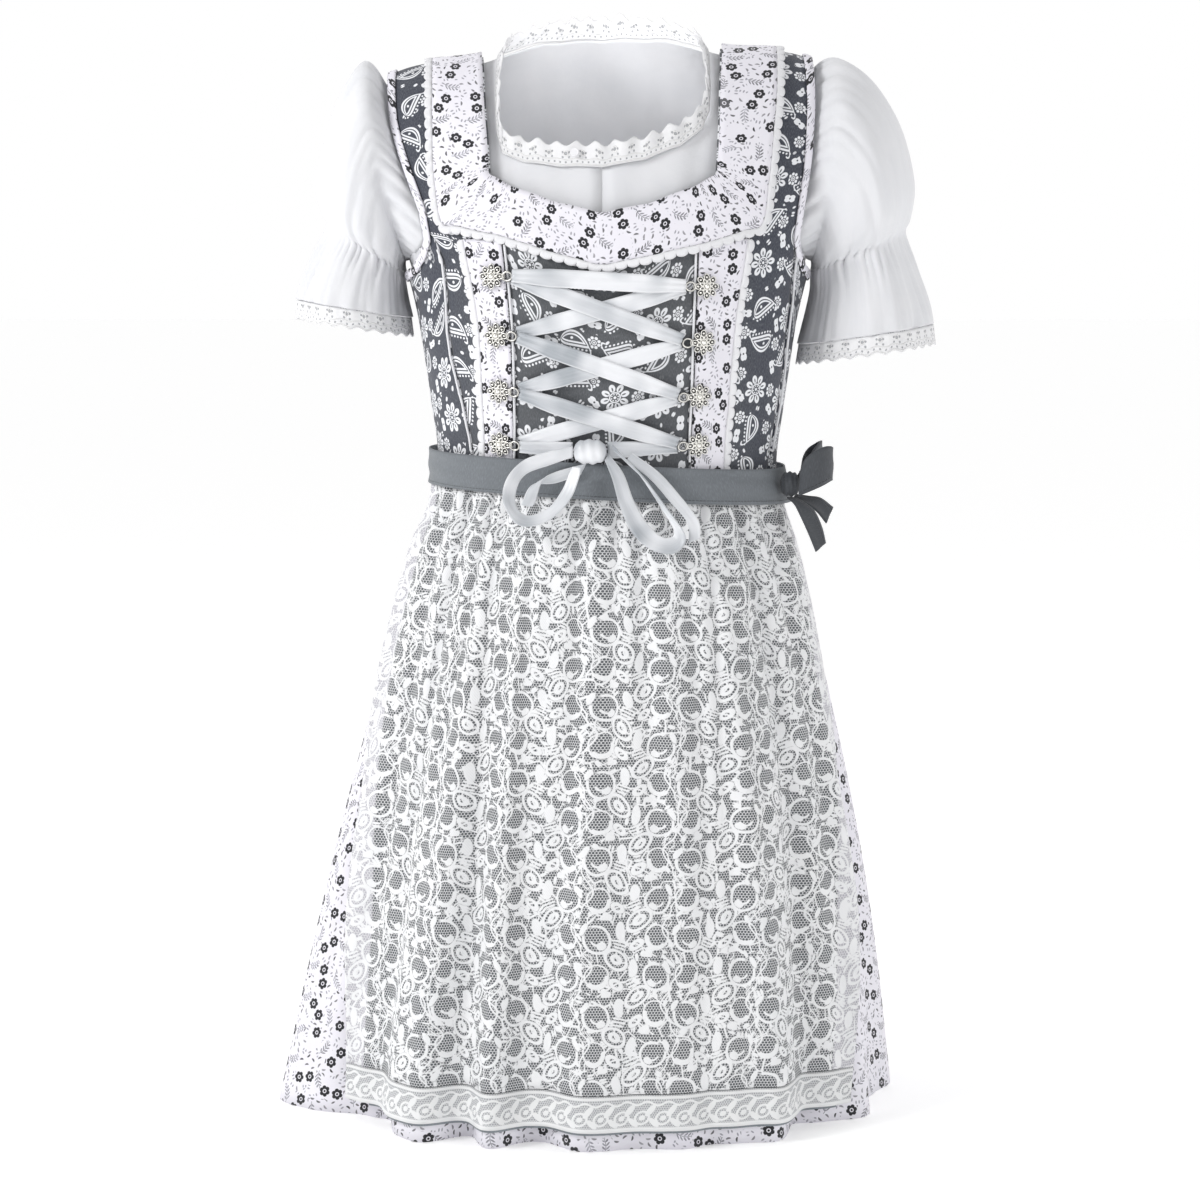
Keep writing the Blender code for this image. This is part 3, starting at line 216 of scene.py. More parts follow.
def even_spots(lengths, count):
    """Count + 1 even steps on a line: the point before each, and the share from there."""
    found = []
    spot = 0
    for step in range(count + 1):
        target = lengths[-1] * step / count
        while spot < len(lengths) - 2 and lengths[spot + 1] < target:
            spot += 1
        span = lengths[spot + 1] - lengths[spot]
        found.append((spot, 0.0 if span == 0 else (target - lengths[spot]) / span))
    return found


def walk(edge, count):
    """Count + 1 places spaced evenly along an edge of (angle, level) places."""
    fine = [blend(start, end, step / EDGE_FINE)
            for start, end in zip(edge, edge[1:]) for step in range(EDGE_FINE)]
    fine.append(tuple(edge[-1]))
    lengths = lengths_along([figure(*place) for place in fine], False)
    return [blend(fine[spot], fine[spot + 1], share)
            for spot, share in even_spots(lengths, count)]


def patch(bottom, top, left, right):
    """Rows of (angle, level) places between four edges that meet in corners."""
    columns = len(bottom) - 1
    rows = len(left) - 1
    places = []
    for row in range(rows + 1):
        v = row / rows
        line = []
        for column in range(columns + 1):
            u = column / columns
            place = []
            for part in range(2):
                value = (1 - v) * bottom[column][part] + v * top[column][part]
                value += (1 - u) * left[row][part] + u * right[row][part]
                value -= (1 - u) * (1 - v) * bottom[0][part] + u * (1 - v) * bottom[-1][part]
                value -= (1 - u) * v * top[0][part] + u * v * top[-1][part]
                place.append(value)
            line.append(tuple(place))
        places.append(line)
    return places


def even_panel(bottom, top, left, right):
    """Rows between four edges, spread evenly in the middle of the panel."""
    columns = len(bottom) - 1
    rows = len(left) - 1
    places = []
    for row in range(rows + 1):
        left_rise = (left[row][1] - left[0][1]) / (left[-1][1] - left[0][1])
        right_rise = (right[row][1] - right[0][1]) / (right[-1][1] - right[0][1])
        line = []
        for column in range(columns + 1):
            u = column / columns
            middle = (4.0 * u * (1.0 - u)) ** 2
            edge_rise = left_rise + (right_rise - left_rise) * u
            rise = edge_rise + (row / rows - edge_rise) * middle
            level = bottom[column][1] + (top[column][1] - bottom[column][1]) * rise
            low = (bottom[column][0] - bottom[0][0]) / (bottom[-1][0] - bottom[0][0])
            high = (top[column][0] - top[0][0]) / (top[-1][0] - top[0][0])
            share = low + (high - low) * rise
            angle = left[row][0] + (right[row][0] - left[row][0]) * share
            line.append((angle, level))
        places.append(line)
    return places


def ruled(left, right, columns):
    """Rows of places between a left and a right edge with as many places."""
    return [[blend(a, b, c / columns) for c in range(columns + 1)] for a, b in zip(left, right)]


def smooth_rows(table, steps):
    """More rows through the rows of a table, on a smooth curve."""
    rows = [(float(index),) + tuple(row) for index, row in enumerate(table)]
    wanted = []
    total = (len(table) - 1) * steps
    for step in range(total + 1):
        at = step / steps
        wanted.append([read(rows, column + 1, at) for column in range(len(table[0]))])
    return wanted


def shifted(places, degrees):
    return [(angle + degrees, level) for angle, level in places]


# %% [markdown]
# Worn cloth is never as smooth as its pattern. A few soft folds, listed one by one, and a slow,
# seeded unevenness move all the layers of one place together, so the bodice, its trims and its
# hooks stay in contact while they ripple.

# %% Soft folds of the bodice
# angle, level, how long it runs, how wide, how deep, its tilt in degrees
EASE_FOLDS = (
    (-52.0, -95.0, 34.0, 7.0, -0.8, 18.0),
    (-60.0, -70.0, 30.0, 8.0, 0.6, 24.0),
    (55.0, -92.0, 36.0, 7.0, -0.8, -16.0),
    (66.0, -66.0, 34.0, 9.0, 0.6, -22.0),
    (-72.0, 6.0, 26.0, 7.0, -0.7, 40.0),
    (74.0, 4.0, 26.0, 7.0, -0.7, -40.0),
    (0.0, -52.0, 60.0, 12.0, 0.4, 2.0),
    (0.0, -84.0, 70.0, 9.0, -0.4, -3.0),
    (150.0, -88.0, 50.0, 8.0, -0.8, 12.0),
    (-150.0, -84.0, 50.0, 8.0, -0.8, -12.0),
    (180.0, -40.0, 80.0, 14.0, 0.5, 0.0),
)


MM_PER_DEGREE = 1.9


def ease(angle, level):
    """How far the cloth ripples at a place of the bodice, in millimetres."""
    angle = half_turn(angle)
    move = 0.45 * noise.noise(Vector((angle * 0.045, level * 0.03, 3.0)))
    for fold_angle, fold_level, run, wide, deep, tilt in EASE_FOLDS:
        across = half_turn(angle - fold_angle) * MM_PER_DEGREE
        rise = level - fold_level
        turn = math.radians(tilt)
        along = across * math.cos(turn) + rise * math.sin(turn)
        aside = rise * math.cos(turn) - across * math.sin(turn)
        if abs(along) < 2.5 * run and abs(aside) < 3.0 * wide:
            move += deep * math.exp(-(along / run) ** 2 - (aside / wide) ** 2)
    return move


def eased(places, distance):
    """Points of a layer, in rows, with the cloth's ripple."""
    return [[outside(angle, level, distance + ease(angle, level)) for angle, level in line]
            for line in places]


print("ripple at the waist:", round(ease(-52.0, -95.0), 2), "mm")

# %% [markdown]
# A cloth piece is one open sheet of points with a real thickness. Its UVs are the flat cloth in
# metres, measured along the rows and columns, so that a weave or print keeps its true size. A
# second UV map says how far a point is from the cut edges, which is where stitching goes.

# %% Making a sheet of cloth
# The narrowest flat size that a sheet states, in metres.
NARROWEST = 0.0105
# A sheet that fills less than this share of its width by length has its own area taken as its cut
# too.
FULL_SHARE = 0.9
# The distance to the cut edge where none is near, in millimetres.
NO_EDGE = 1000.0
flat_sizes = {}


def flat_grid(lines, closed, gathered):
    """Flat coordinates (u, v) of every grid point in millimetres, and the largest sizes."""
    rows = [lengths_along(line, closed) for line in lines]
    count = len(rows[0])
    longest = max(rows, key=lambda row: row[-1])
    rises = [0.0]
    tallest = 0.0
    for before, after in zip(lines, lines[1:]):
        gaps = [(b - a).length for a, b in zip(before, after)]
        rises.append(rises[-1] + sum(gaps) / len(gaps))
    for column in range(len(lines[0])):
        tallest = max(tallest, sum((b[column] - a[column]).length
                                   for a, b in zip(lines, lines[1:])))
    grid = []
    for row, rise in zip(rows, rises):
        along = longest if gathered else row
        middle = along[-1] / 2.0
        grid.append([(along[column] - middle, rise) for column in range(count)])
    return grid, longest[-1], tallest


def cloth(name, lines, wall, closed=False, gathered=False):
    """A sheet of cloth through rows of points, thickened outwards."""
    count = len(lines[0])
    mesh = bpy.data.meshes.new(name)
    vertices = [point * MM for line in lines for point in line]
    faces = []
    corners = []
    for row in range(len(lines) - 1):
        for column in range(count if closed else count - 1):
            after = (column + 1) % count
            faces.append((row * count + column, row * count + after,
                          (row + 1) * count + after, (row + 1) * count + column))
            corners += [(row, column), (row, column + 1), (row + 1, column + 1), (row + 1, column)]
    mesh.from_pydata(vertices, [], faces)
    grid, width, length = flat_grid(lines, closed, gathered)
    cloth_map = mesh.uv_layers.new(name="Cloth")
    edge_map = mesh.uv_layers.new(name="Edges")
    for index, (row, column) in enumerate(corners):
        u, v = grid[row][column]
        cloth_map.data[index].uv = (u * MM, v * MM)
        ends = NO_EDGE if closed else min(column, count - 1 - column) / (count - 1) * width
        edge_map.data[index].uv = (ends * MM, min(v, NO_EDGE) * MM)
    mesh.shade_smooth()
    piece = bpy.data.objects.new(name + "_cloth", mesh)
    bpy.context.scene.collection.objects.link(piece)
    thickness = piece.modifiers.new("cloth", "SOLIDIFY")
    thickness.thickness = wall * MM
    thickness.offset = 1.0
    area = sum(face.area for face in mesh.polygons)
    flat_sizes[piece.name] = (width * MM, length * MM, area)
    return piece


def dress(piece, finish, node):
    """Gives the piece its finish and body, and lets it stand for its CAD node."""
    piece.data.materials.clear()
    piece.data.materials.append(finish)
    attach(piece, "root")
    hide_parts(node)
    return piece


def declare(piece):
    """Says what flat cut the sheet was made from, measured along its rows and columns."""
    width, length, area = flat_sizes[piece.name]
    width = max(width, NARROWEST)
    length = max(length, NARROWEST)
    share = area / (width * length)
    cut = area if share < FULL_SHARE else None
    print(piece.name, "cut", round(width * TO_MM), "x", round(length * TO_MM),
          "mm, area share", round(share, 2))


# %% [markdown]
# The prints and laces are drawn by the materials themselves, from the flat coordinates. A small
# class lets ordinary sums build the Math nodes, so that a motif reads like its formula.

# %% Sums on nodes
class Field:
    """A number that changes over the cloth, worked out by Math nodes."""

    def __init__(self, tree, socket):
        self.tree = tree
        self.socket = socket

    def math(self, operation, *others, clamp=False):
        node = self.tree.nodes.new("ShaderNodeMath")
        node.operation = operation
        node.use_clamp = clamp
        for slot, value in zip(node.inputs, (self,) + others):
            if isinstance(value, Field):
                self.tree.links.new(value.socket, slot)
            else:
                slot.default_value = value
        return Field(self.tree, node.outputs[0])

    def __add__(self, other):
        return self.math("ADD", other)

    def __sub__(self, other):
        return self.math("SUBTRACT", other)

    def __mul__(self, other):
        return self.math("MULTIPLY", other)

    def __truediv__(self, other):
        return self.math("DIVIDE", other)

    def __neg__(self):
        return self.math("MULTIPLY", -1.0)

    __radd__ = __add__
    __rmul__ = __mul__

    def __rsub__(self, other):
        return self.math("MULTIPLY_ADD", -1.0, other)

    def __abs__(self):
        return self.math("ABSOLUTE")


def size(x, y):
    return (x * x + y * y).math("SQRT")


def wrapped(value, pitch):
    """The distance from the nearest multiple of the pitch."""
    return value.math("WRAP", pitch / 2.0, -pitch / 2.0)


def clamped(value):
    return value.math("ADD", 0.0, clamp=True)


def below(value, edge, soft=0.3):
    """1 where the value is under the edge, 0 above, with a soft step."""
    return value.math("MULTIPLY_ADD", -1.0 / soft, edge / soft + 0.5, clamp=True)


def band(value, middle, half, soft=0.3):
    """1 within a band round the middle value."""
    return below(abs(value - middle), half, soft)


def either(*masks):
    found = masks[0]
    for mask in masks[1:]:
        found = found.math("MAXIMUM", mask)
    return found


def turned(x, y, turn):
    """A point turned by an angle in radians, a number or a field."""
    if isinstance(turn, Field):
        cosine = turn.math("COSINE")
        sine = turn.math("SINE")
    else:
        cosine = math.cos(turn)
        sine = math.sin(turn)
    return x * cosine + y * sine, y * cosine - x * sine


# How much of a cell each column of cells is shifted against the one before.
COLUMN_STEP = 0.38
FULL_TURN = 6.2832


def object_part(tree, kind, axis):
    """One coordinate of the shaded point; kind is Object, or Generated in the room."""
    place = tree.nodes.new("ShaderNodeTexCoord")
    split = tree.nodes.new("ShaderNodeSeparateXYZ")
    tree.links.new(place.outputs[kind], split.inputs[0])
    return Field(tree, split.outputs[axis])


def object_noise(tree, scale, detail=2.0):
    """An unevenness from 0 to 1 in the object's own space; scale is per metre."""
    place = tree.nodes.new("ShaderNodeTexCoord")
    node = tree.nodes.new("ShaderNodeTexNoise")
    node.inputs["Scale"].default_value = scale
    node.inputs["Detail"].default_value = detail
    tree.links.new(place.outputs["Object"], node.inputs["Vector"])
    return Field(tree, node.outputs["Fac"])


def spread(u, v, pitch_u, pitch_v, jitter, seed):
    """Cells in stepped columns: the point from its cell's middle, and three random numbers."""
    column = (u / pitch_u).math("FLOOR")
    shifted_v = v + (column * COLUMN_STEP).math("FLOORED_MODULO", 1.0) * pitch_v
    row = (shifted_v / pitch_v).math("FLOOR")
    tree = u.tree
    join = tree.nodes.new("ShaderNodeCombineXYZ")
    tree.links.new(column.socket, join.inputs[0])
    tree.links.new(row.socket, join.inputs[1])
    join.inputs[2].default_value = seed
    dice = tree.nodes.new("ShaderNodeTexWhiteNoise")
    tree.links.new(join.outputs[0], dice.inputs["Vector"])
    split = tree.nodes.new("ShaderNodeSeparateColor")
    tree.links.new(dice.outputs["Color"], split.inputs[0])
    first, second, third = (Field(tree, split.outputs[k]) for k in range(3))
    x = u - (column + 0.5) * pitch_u - (first - 0.5) * jitter
    y = shifted_v - (row + 0.5) * pitch_v - (second - 0.5) * jitter
    return x, y, first, second, third


# %% [markdown]
# Each finish starts from the same weave: a fine over-and-under bump with slubs, and a slow
# change of tone. Only the colour, the print and the sheen differ from cloth to cloth.

# %% A cloth finish
class Finish:
    """A material on one Principled shader, with the cloth's flat coordinates in millimetres."""

    def __init__(self, name, roughness, sheen=0.0, metallic=0.0):
        self.material = bpy.data.materials.new(name)
        self.material.use_nodes = True
        self.tree = self.material.node_tree
        self.shader = self.tree.nodes["Principled BSDF"]
        self.shader.inputs["Roughness"].default_value = roughness
        self.shader.inputs["Metallic"].default_value = metallic
        self.shader.inputs["Sheen Weight"].default_value = sheen
        self.u, self.v = self.coordinates("Cloth")

    def coordinates(self, uv_map):
        node = self.tree.nodes.new("ShaderNodeUVMap")
        node.uv_map = uv_map
        split = self.tree.nodes.new("ShaderNodeSeparateXYZ")
        self.tree.links.new(node.outputs[0], split.inputs[0])
        return tuple(Field(self.tree, split.outputs[axis]) * TO_MM for axis in (0, 1))

    def noise(self, scale, detail=2.0, stretch=(1.0, 1.0), seed=0.0):
        """A slow unevenness from 0 to 1; scale is in millimetres."""
        join = self.tree.nodes.new("ShaderNodeCombineXYZ")
        self.tree.links.new((self.u * (stretch[0] / scale)).socket, join.inputs[0])
        self.tree.links.new((self.v * (stretch[1] / scale)).socket, join.inputs[1])
        join.inputs[2].default_value = seed
        node = self.tree.nodes.new("ShaderNodeTexNoise")
        node.inputs["Scale"].default_value = 1.0
        node.inputs["Detail"].default_value = detail
        self.tree.links.new(join.outputs[0], node.inputs["Vector"])
        return Field(self.tree, node.outputs["Fac"])

    def mix(self, share, first, second):
        """A colour between two colours, each a triple or a socket."""
        node = self.tree.nodes.new("ShaderNodeMix")
        node.data_type = "RGBA"
        self.tree.links.new(share.socket, node.inputs[0])
        for slot, colour in ((node.inputs[6], first), (node.inputs[7], second)):
            if isinstance(colour, tuple):
                slot.default_value = (*colour, 1.0)
            else:
                self.tree.links.new(colour, slot)
        return node.outputs[2]

    def weave(self, pitch):
        """The height of a plain weave's threads, from about 0 to 1."""
        across = (self.u * (math.pi / pitch)).math("SINE")
        along = (self.v * (math.pi / pitch)).math("SINE")
        return across * along * 0.25 + self.noise(0.9, 2.0, seed=7.0) * 0.5

    def finish(self, colour, height, depth):
        """Joins the colour and the bump, whose depth is in millimetres, to the shader."""
        self.tree.links.new(colour, self.shader.inputs["Base Color"])
        bump = self.tree.nodes.new("ShaderNodeBump")
        bump.inputs["Strength"].default_value = 1.0
        bump.inputs["Distance"].default_value = depth * MM
        self.tree.links.new(height.socket, bump.inputs["Height"])
        self.tree.links.new(bump.outputs[0], self.shader.inputs["Normal"])
        print(self.material.name, "nodes:", len(self.tree.nodes))
        return self.material


# %% [markdown]
# The bodice is a dark chambray with a white bandana print: curled drops with dots and a horn,
# rosettes of veined petals, and ringed flowers, small clouds and seeds in between. Each motif is
# a formula in its own cell. The cells stand in stepped columns, with some chance in their place
# and turn.

# %% Printed chambray
def drop_motif(x, y, long):
    """A curled drop: outline, inner drop, eye, dots along one side and a horn; and its zone."""
    bend = x - y * y * (0.75 / long)
    share = (y / long + 0.5).math("MINIMUM", 1.0).math("MAXIMUM", 0.0)
    half = share.math("SQRT") * (1.0 - share).math("POWER", 0.8) * (long * 0.70)
    edge = abs(bend) - half + (abs(y) - long / 2.0).math("MAXIMUM", 0.0)
    outline = band(edge, -0.7, 0.8)
    inner = band(edge, -3.0, 0.62)
    eye = below(size(bend, y + long * 0.13), 0.95)
    dots = below(size(edge - 1.7, wrapped(y, 2.7)), 0.75) * below(-bend, 0.0)
    horn = band(size(bend - 2.6, y - long * 0.44), 2.6, 0.5) * below(-y, -long * 0.44)
    return either(outline, inner, eye, dots, horn), below(edge, 2.7)


def ringed_flower(x, y, petals, reach):
    """A round flower: a ring, beads round it, and petals outside."""
    away = size(x, y)
    turn = y.math("ARCTAN2", x)
    step = 2.0 * math.pi / petals
    local = wrapped(turn, step)
    px = away * local.math("COSINE") - reach
    py = away * local.math("SINE")
    petal = below(size(px, py), reach * math.pi / petals * 0.82)
    eye = below(away, reach * 0.2)
    ring = band(away, reach * 0.44, reach * 0.09)
    return either(petal, eye, ring), below(away, reach * 1.75)


def rosette(x, y):
    """Eight solid veined petals round a beaded ring."""
    away = size(x, y)
    turn = y.math("ARCTAN2", x)
    local = wrapped(turn, math.pi / 4.0)
    px = away * local.math("COSINE")
    py = away * local.math("SINE")
    petal = below(size((px - 7.0) / 2.9, py / 2.15), 1.0, 0.14)
    vein = below(size((px - 6.2) / 1.5, py / 0.5), 1.0, 0.4)
    ring = band(away, 3.5, 0.42)
    beads = below(size(away - 2.3, wrapped(turn, math.pi / 4.0) * 2.3), 0.5)
    eye = below(away, 1.0)
    return either(petal * (1.0 - vein), ring, beads, eye), below(away, 11.2)


BANDANA_PITCH = (29.0, 28.0)
BANDANA_START = (5.0, 9.0)
DROP_LENGTH = 19.5
ROSE_SHARE = 0.36
# The small motifs stand between the big ones: aside, and up or down.
SMALL_ASIDE = 14.5
RINGED_RISE = -8.7
CLOUD_RISE = 5.3
SEED_PITCH = (8.8, 7.4)
chambray = Finish("printed_chambray", roughness=0.82, sheen=0.15)
print_u = chambray.u + BANDANA_START[0]
print_v = chambray.v + BANDANA_START[1]
x, y, one, two, three = spread(print_u, print_v, *BANDANA_PITCH, 4.0, 3.0)
tx, ty = turned(x, y, three * FULL_TURN)
drop_white, drop_zone = drop_motif(tx, ty, DROP_LENGTH)
rose_white, rose_zone = rosette(tx, ty)
is_rose = below(one, ROSE_SHARE, 0.01)
big_white = drop_white + (rose_white - drop_white) * is_rose
big_zone = drop_zone + (rose_zone - drop_zone) * is_rose
small_u = print_u + SMALL_ASIDE
x, y, one, two, three = spread(small_u, print_v + RINGED_RISE, *BANDANA_PITCH, 3.0, 11.0)
small_white, small_zone = ringed_flower(*turned(x, y, three * FULL_TURN), 8, 3.5)
x, y, one, two, three = spread(small_u, print_v + CLOUD_RISE, *BANDANA_PITCH, 2.0, 12.0)
tx, ty = turned(x, y, three * FULL_TURN)
cloud = below(size(tx * 0.9, abs(ty) - 2.2) - abs((tx * 1.1).math("SINE")) * 0.6, 2.1)
cloud_zone = below(size(tx, ty), 5.2)
small_white = either(small_white, cloud * (1.0 - below(size(tx, ty), 0.7)))
small_zone = either(small_zone, cloud_zone)
x, y, one, two, three = spread(chambray.u, chambray.v, *SEED_PITCH, 3.0, 19.0)
tx, ty = turned(x, y, three * FULL_TURN)
seeds = below(size(tx * 0.5, abs(ty) - two * 1.1), 0.75) * below(one, 0.40, 0.01)
white = either(big_white, (1.0 - big_zone) * either(small_white, (1.0 - small_zone) * seeds))
white = white * (chambray.noise(1.1, 1.0, seed=2.0) * 0.25 + 0.84)
flecks = chambray.noise(0.7, 2.0, (1.0, 0.35), seed=5.0)
tone = chambray.noise(46.0, 1.0, seed=9.0)
ground = chambray.mix(tone, (0.064, 0.070, 0.080), (0.086, 0.090, 0.096))
# The side panels are painted darker and bluer than the front: painted shade where they turn away
# from the light.
aside = clamped(abs(object_part(chambray.tree, "Object", 0)) * 25.0 - 1.7)
ground = chambray.mix(aside, ground, (0.026, 0.031, 0.050))
ground = chambray.mix(flecks.math("POWER", 3.0), ground, (0.24, 0.25, 0.27))
colour = chambray.mix(white, ground, (0.86, 0.87, 0.90))
bodice_print = chambray.finish(colour, chambray.weave(0.5) + white * 0.25, 0.12)

# %% [markdown]
# The skirt and the trims share one cotton: a pale ground with black six-petalled flowers in
# pairs, grey leaf sprigs, and small dark dashes and specks.

# %% Floral cotton
def black_flower(x, y):
    away = size(x, y)
    turn = y.math("ARCTAN2", x)
    local = wrapped(turn, math.pi / 3.0)
    petal = size(away * local.math("COSINE") - 2.55, away * local.math("SINE"))
    petals = either(below(petal, 1.5, 0.25), below(away, 2.3, 0.25))
    ring = band(away, 1.15, 0.3, 0.25)
    return petals * (1.0 - ring)


def sprig(x, y, long):
    """A curved leafy sprig: slim leaves in pairs along a stem."""
    bent = y - x * x * 0.045
    aside = abs(bent)
    slant = abs(wrapped(x - aside * 0.8, 2.5))
    leaf_half = (aside * (math.pi / 3.0)).math("SINE") * 0.72
    leaf = below(slant - leaf_half, 0.0, 0.3) * below(aside, 2.9)
    leaf = leaf * below(abs(x) + aside * 0.7, long / 2.0)
    stem = below(aside, 0.25) * below(abs(x + 1.0), long / 2.0)
    return either(leaf, stem)


FLOWER_PITCH = (27.0, 23.0)
FLOWER_START = (3.0, 4.0)
FLOWER_ASIDE = 4.8
SPRIG_OFFSET = (13.5, -7.1)
SPRIG_LENGTH = 12.0
DASH_PITCH = (5.6, 4.8)
floral = Finish("floral_cotton", roughness=0.8, sheen=0.1)
print_u = floral.u + FLOWER_START[0]
print_v = floral.v + FLOWER_START[1]
x, y, one, two, three = spread(print_u, print_v, *FLOWER_PITCH, 5.0, 31.0)
tx, ty = turned(x, y, three * FULL_TURN)
second = black_flower(tx + FLOWER_ASIDE, ty + 1.5) * below(two, 0.75, 0.01)
pair = either(black_flower(tx - FLOWER_ASIDE, ty), second)
zone = below(size(tx * 0.72, ty), 6.6)
sprig_u = print_u + SPRIG_OFFSET[0]
sprig_v = print_v + SPRIG_OFFSET[1]
x, y, one, two, three = spread(sprig_u, sprig_v, *FLOWER_PITCH, 3.0, 37.0)
leaves = sprig(*turned(x, y, three * FULL_TURN), SPRIG_LENGTH)
leaf_zone = below(size(x, y), 6.0)
x, y, one, two, three = spread(floral.u, floral.v, *DASH_PITCH, 2.4, 41.0)
tx, ty = turned(x, y, three * FULL_TURN)
dashes = below(size(tx * 0.38, ty - tx * tx * 0.12), 0.66) * below(one, 0.55, 0.01)
specks = below(size((tx - 1.2) * 0.45, abs(ty) - 1.2), 0.55) * below(1.0 - one, 0.45, 0.01)
free = (1.0 - zone) * (1.0 - leaf_zone)
tone = floral.noise(60.0, 1.0, seed=4.0)
ground = floral.mix(tone, (0.80, 0.78, 0.85), (0.86, 0.85, 0.90))
leaf_shade = floral.noise(9.0, 1.0, seed=14.0) * 2.0 - 0.5
leaf_tone = floral.mix(leaf_shade, (0.06, 0.06, 0.07), (0.42, 0.42, 0.47))
colour = floral.mix(leaves * (1.0 - zone) * 0.95, ground, leaf_tone)
colour = floral.mix(specks * free * 0.85, colour, (0.26, 0.26, 0.30))
colour = floral.mix(dashes * free * (two * 0.4 + 0.6), colour, (0.018, 0.018, 0.022))
colour = floral.mix(pair, colour, (0.014, 0.014, 0.018))
floral_print = floral.finish(colour, floral.weave(0.5), 0.10)

# %% [markdown]
# Plain whites differ by their surface: the blouse is a soft even cotton, the edgings are satin
# stitch whose threads run across the tape, and the frills are eyelet embroidery.

# %% White cotton, edging and eyelet lace
cotton = Finish("white_cotton", roughness=0.85, sheen=0.2)
tone = cotton.noise(30.0, 3.0, seed=1.0)
colour = cotton.mix(tone, (0.70, 0.71, 0.74), (0.80, 0.80, 0.82))
creases = cotton.noise(14.0, 3.0, seed=6.0) * 3.0
blouse_cotton = cotton.finish(colour, cotton.weave(0.45) + creases, 0.12)

THREAD_PITCH = 0.5
stitched = Finish("white_edging", roughness=0.6, sheen=0.1)
threads = (stitched.u * (math.pi / THREAD_PITCH)).math("SINE")
colour = stitched.mix(threads * 0.5 + 0.5, (0.78, 0.78, 0.81), (0.88, 0.88, 0.90))
edging_white = stitched.finish(colour, threads * 0.4 + stitched.noise(2.0, 2.0), 0.05)

eyelet = Finish("eyelet_lace", roughness=0.8, sheen=0.15)
EYELET_PITCH = 13.0
cell = wrapped(eyelet.u, EYELET_PITCH)
holes = below(size(cell, eyelet.v - 9.5), 1.0)
petal_holes = below(size(abs(cell) - 2.3, abs(eyelet.v - 8.2) - 1.7), 0.72)
row = below(size(wrapped(eyelet.u, EYELET_PITCH / 3.0), eyelet.v - 3.0), 0.65)
open_work = either(holes, petal_holes, row)
rims = either(band(size(cell, eyelet.v - 9.5), 1.6, 0.35), band(eyelet.v, 4.8, 0.3),
              band(eyelet.v, 1.2, 0.3))
colour = eyelet.mix(eyelet.noise(5.0, 2.0), (0.76, 0.76, 0.78), (0.86, 0.86, 0.87))
colour = eyelet.mix(rims, colour, (0.90, 0.90, 0.90))
# The eyelet holes are not cut: they are painted grey, as painted shade for the hollow behind them.
colour = eyelet.mix(open_work, colour, (0.42, 0.43, 0.45))
eyelet_lace = eyelet.finish(colour, rims - open_work + eyelet.weave(0.5) * 0.3, 0.35)

# %% [markdown]
# The apron is a slate underlay that shows through a white floral lace. The lace is drawn as
# scrolls, eye-shaped leaves, buds and stems over a hexagonal net, with fine veins and small leaves
# between them. The net's cells are painted with a dark slate, as painted shade for the underlay
# behind them, and a paler grey near the side edges; the cords stand proud by bump.

# %% Apron lace
MOTIF_PITCH = (30.0, 51.0)
NET_PITCH = 1.95


def net(u, v, pitch):
    """1 on the net's threads, 0 in its cells."""
    tall = pitch * 1.732
    first = size(wrapped(u, pitch), wrapped(v, tall))
    second = size(wrapped(u + pitch / 2.0, pitch), wrapped(v + tall / 2.0, tall))
    return 1.0 - below(first.math("MINIMUM", second), pitch * 0.40, 0.22)


def oval(x, y, long, wide, turn):
    tx, ty = turned(x, y, math.radians(turn))
    return size(tx / long, ty / wide)


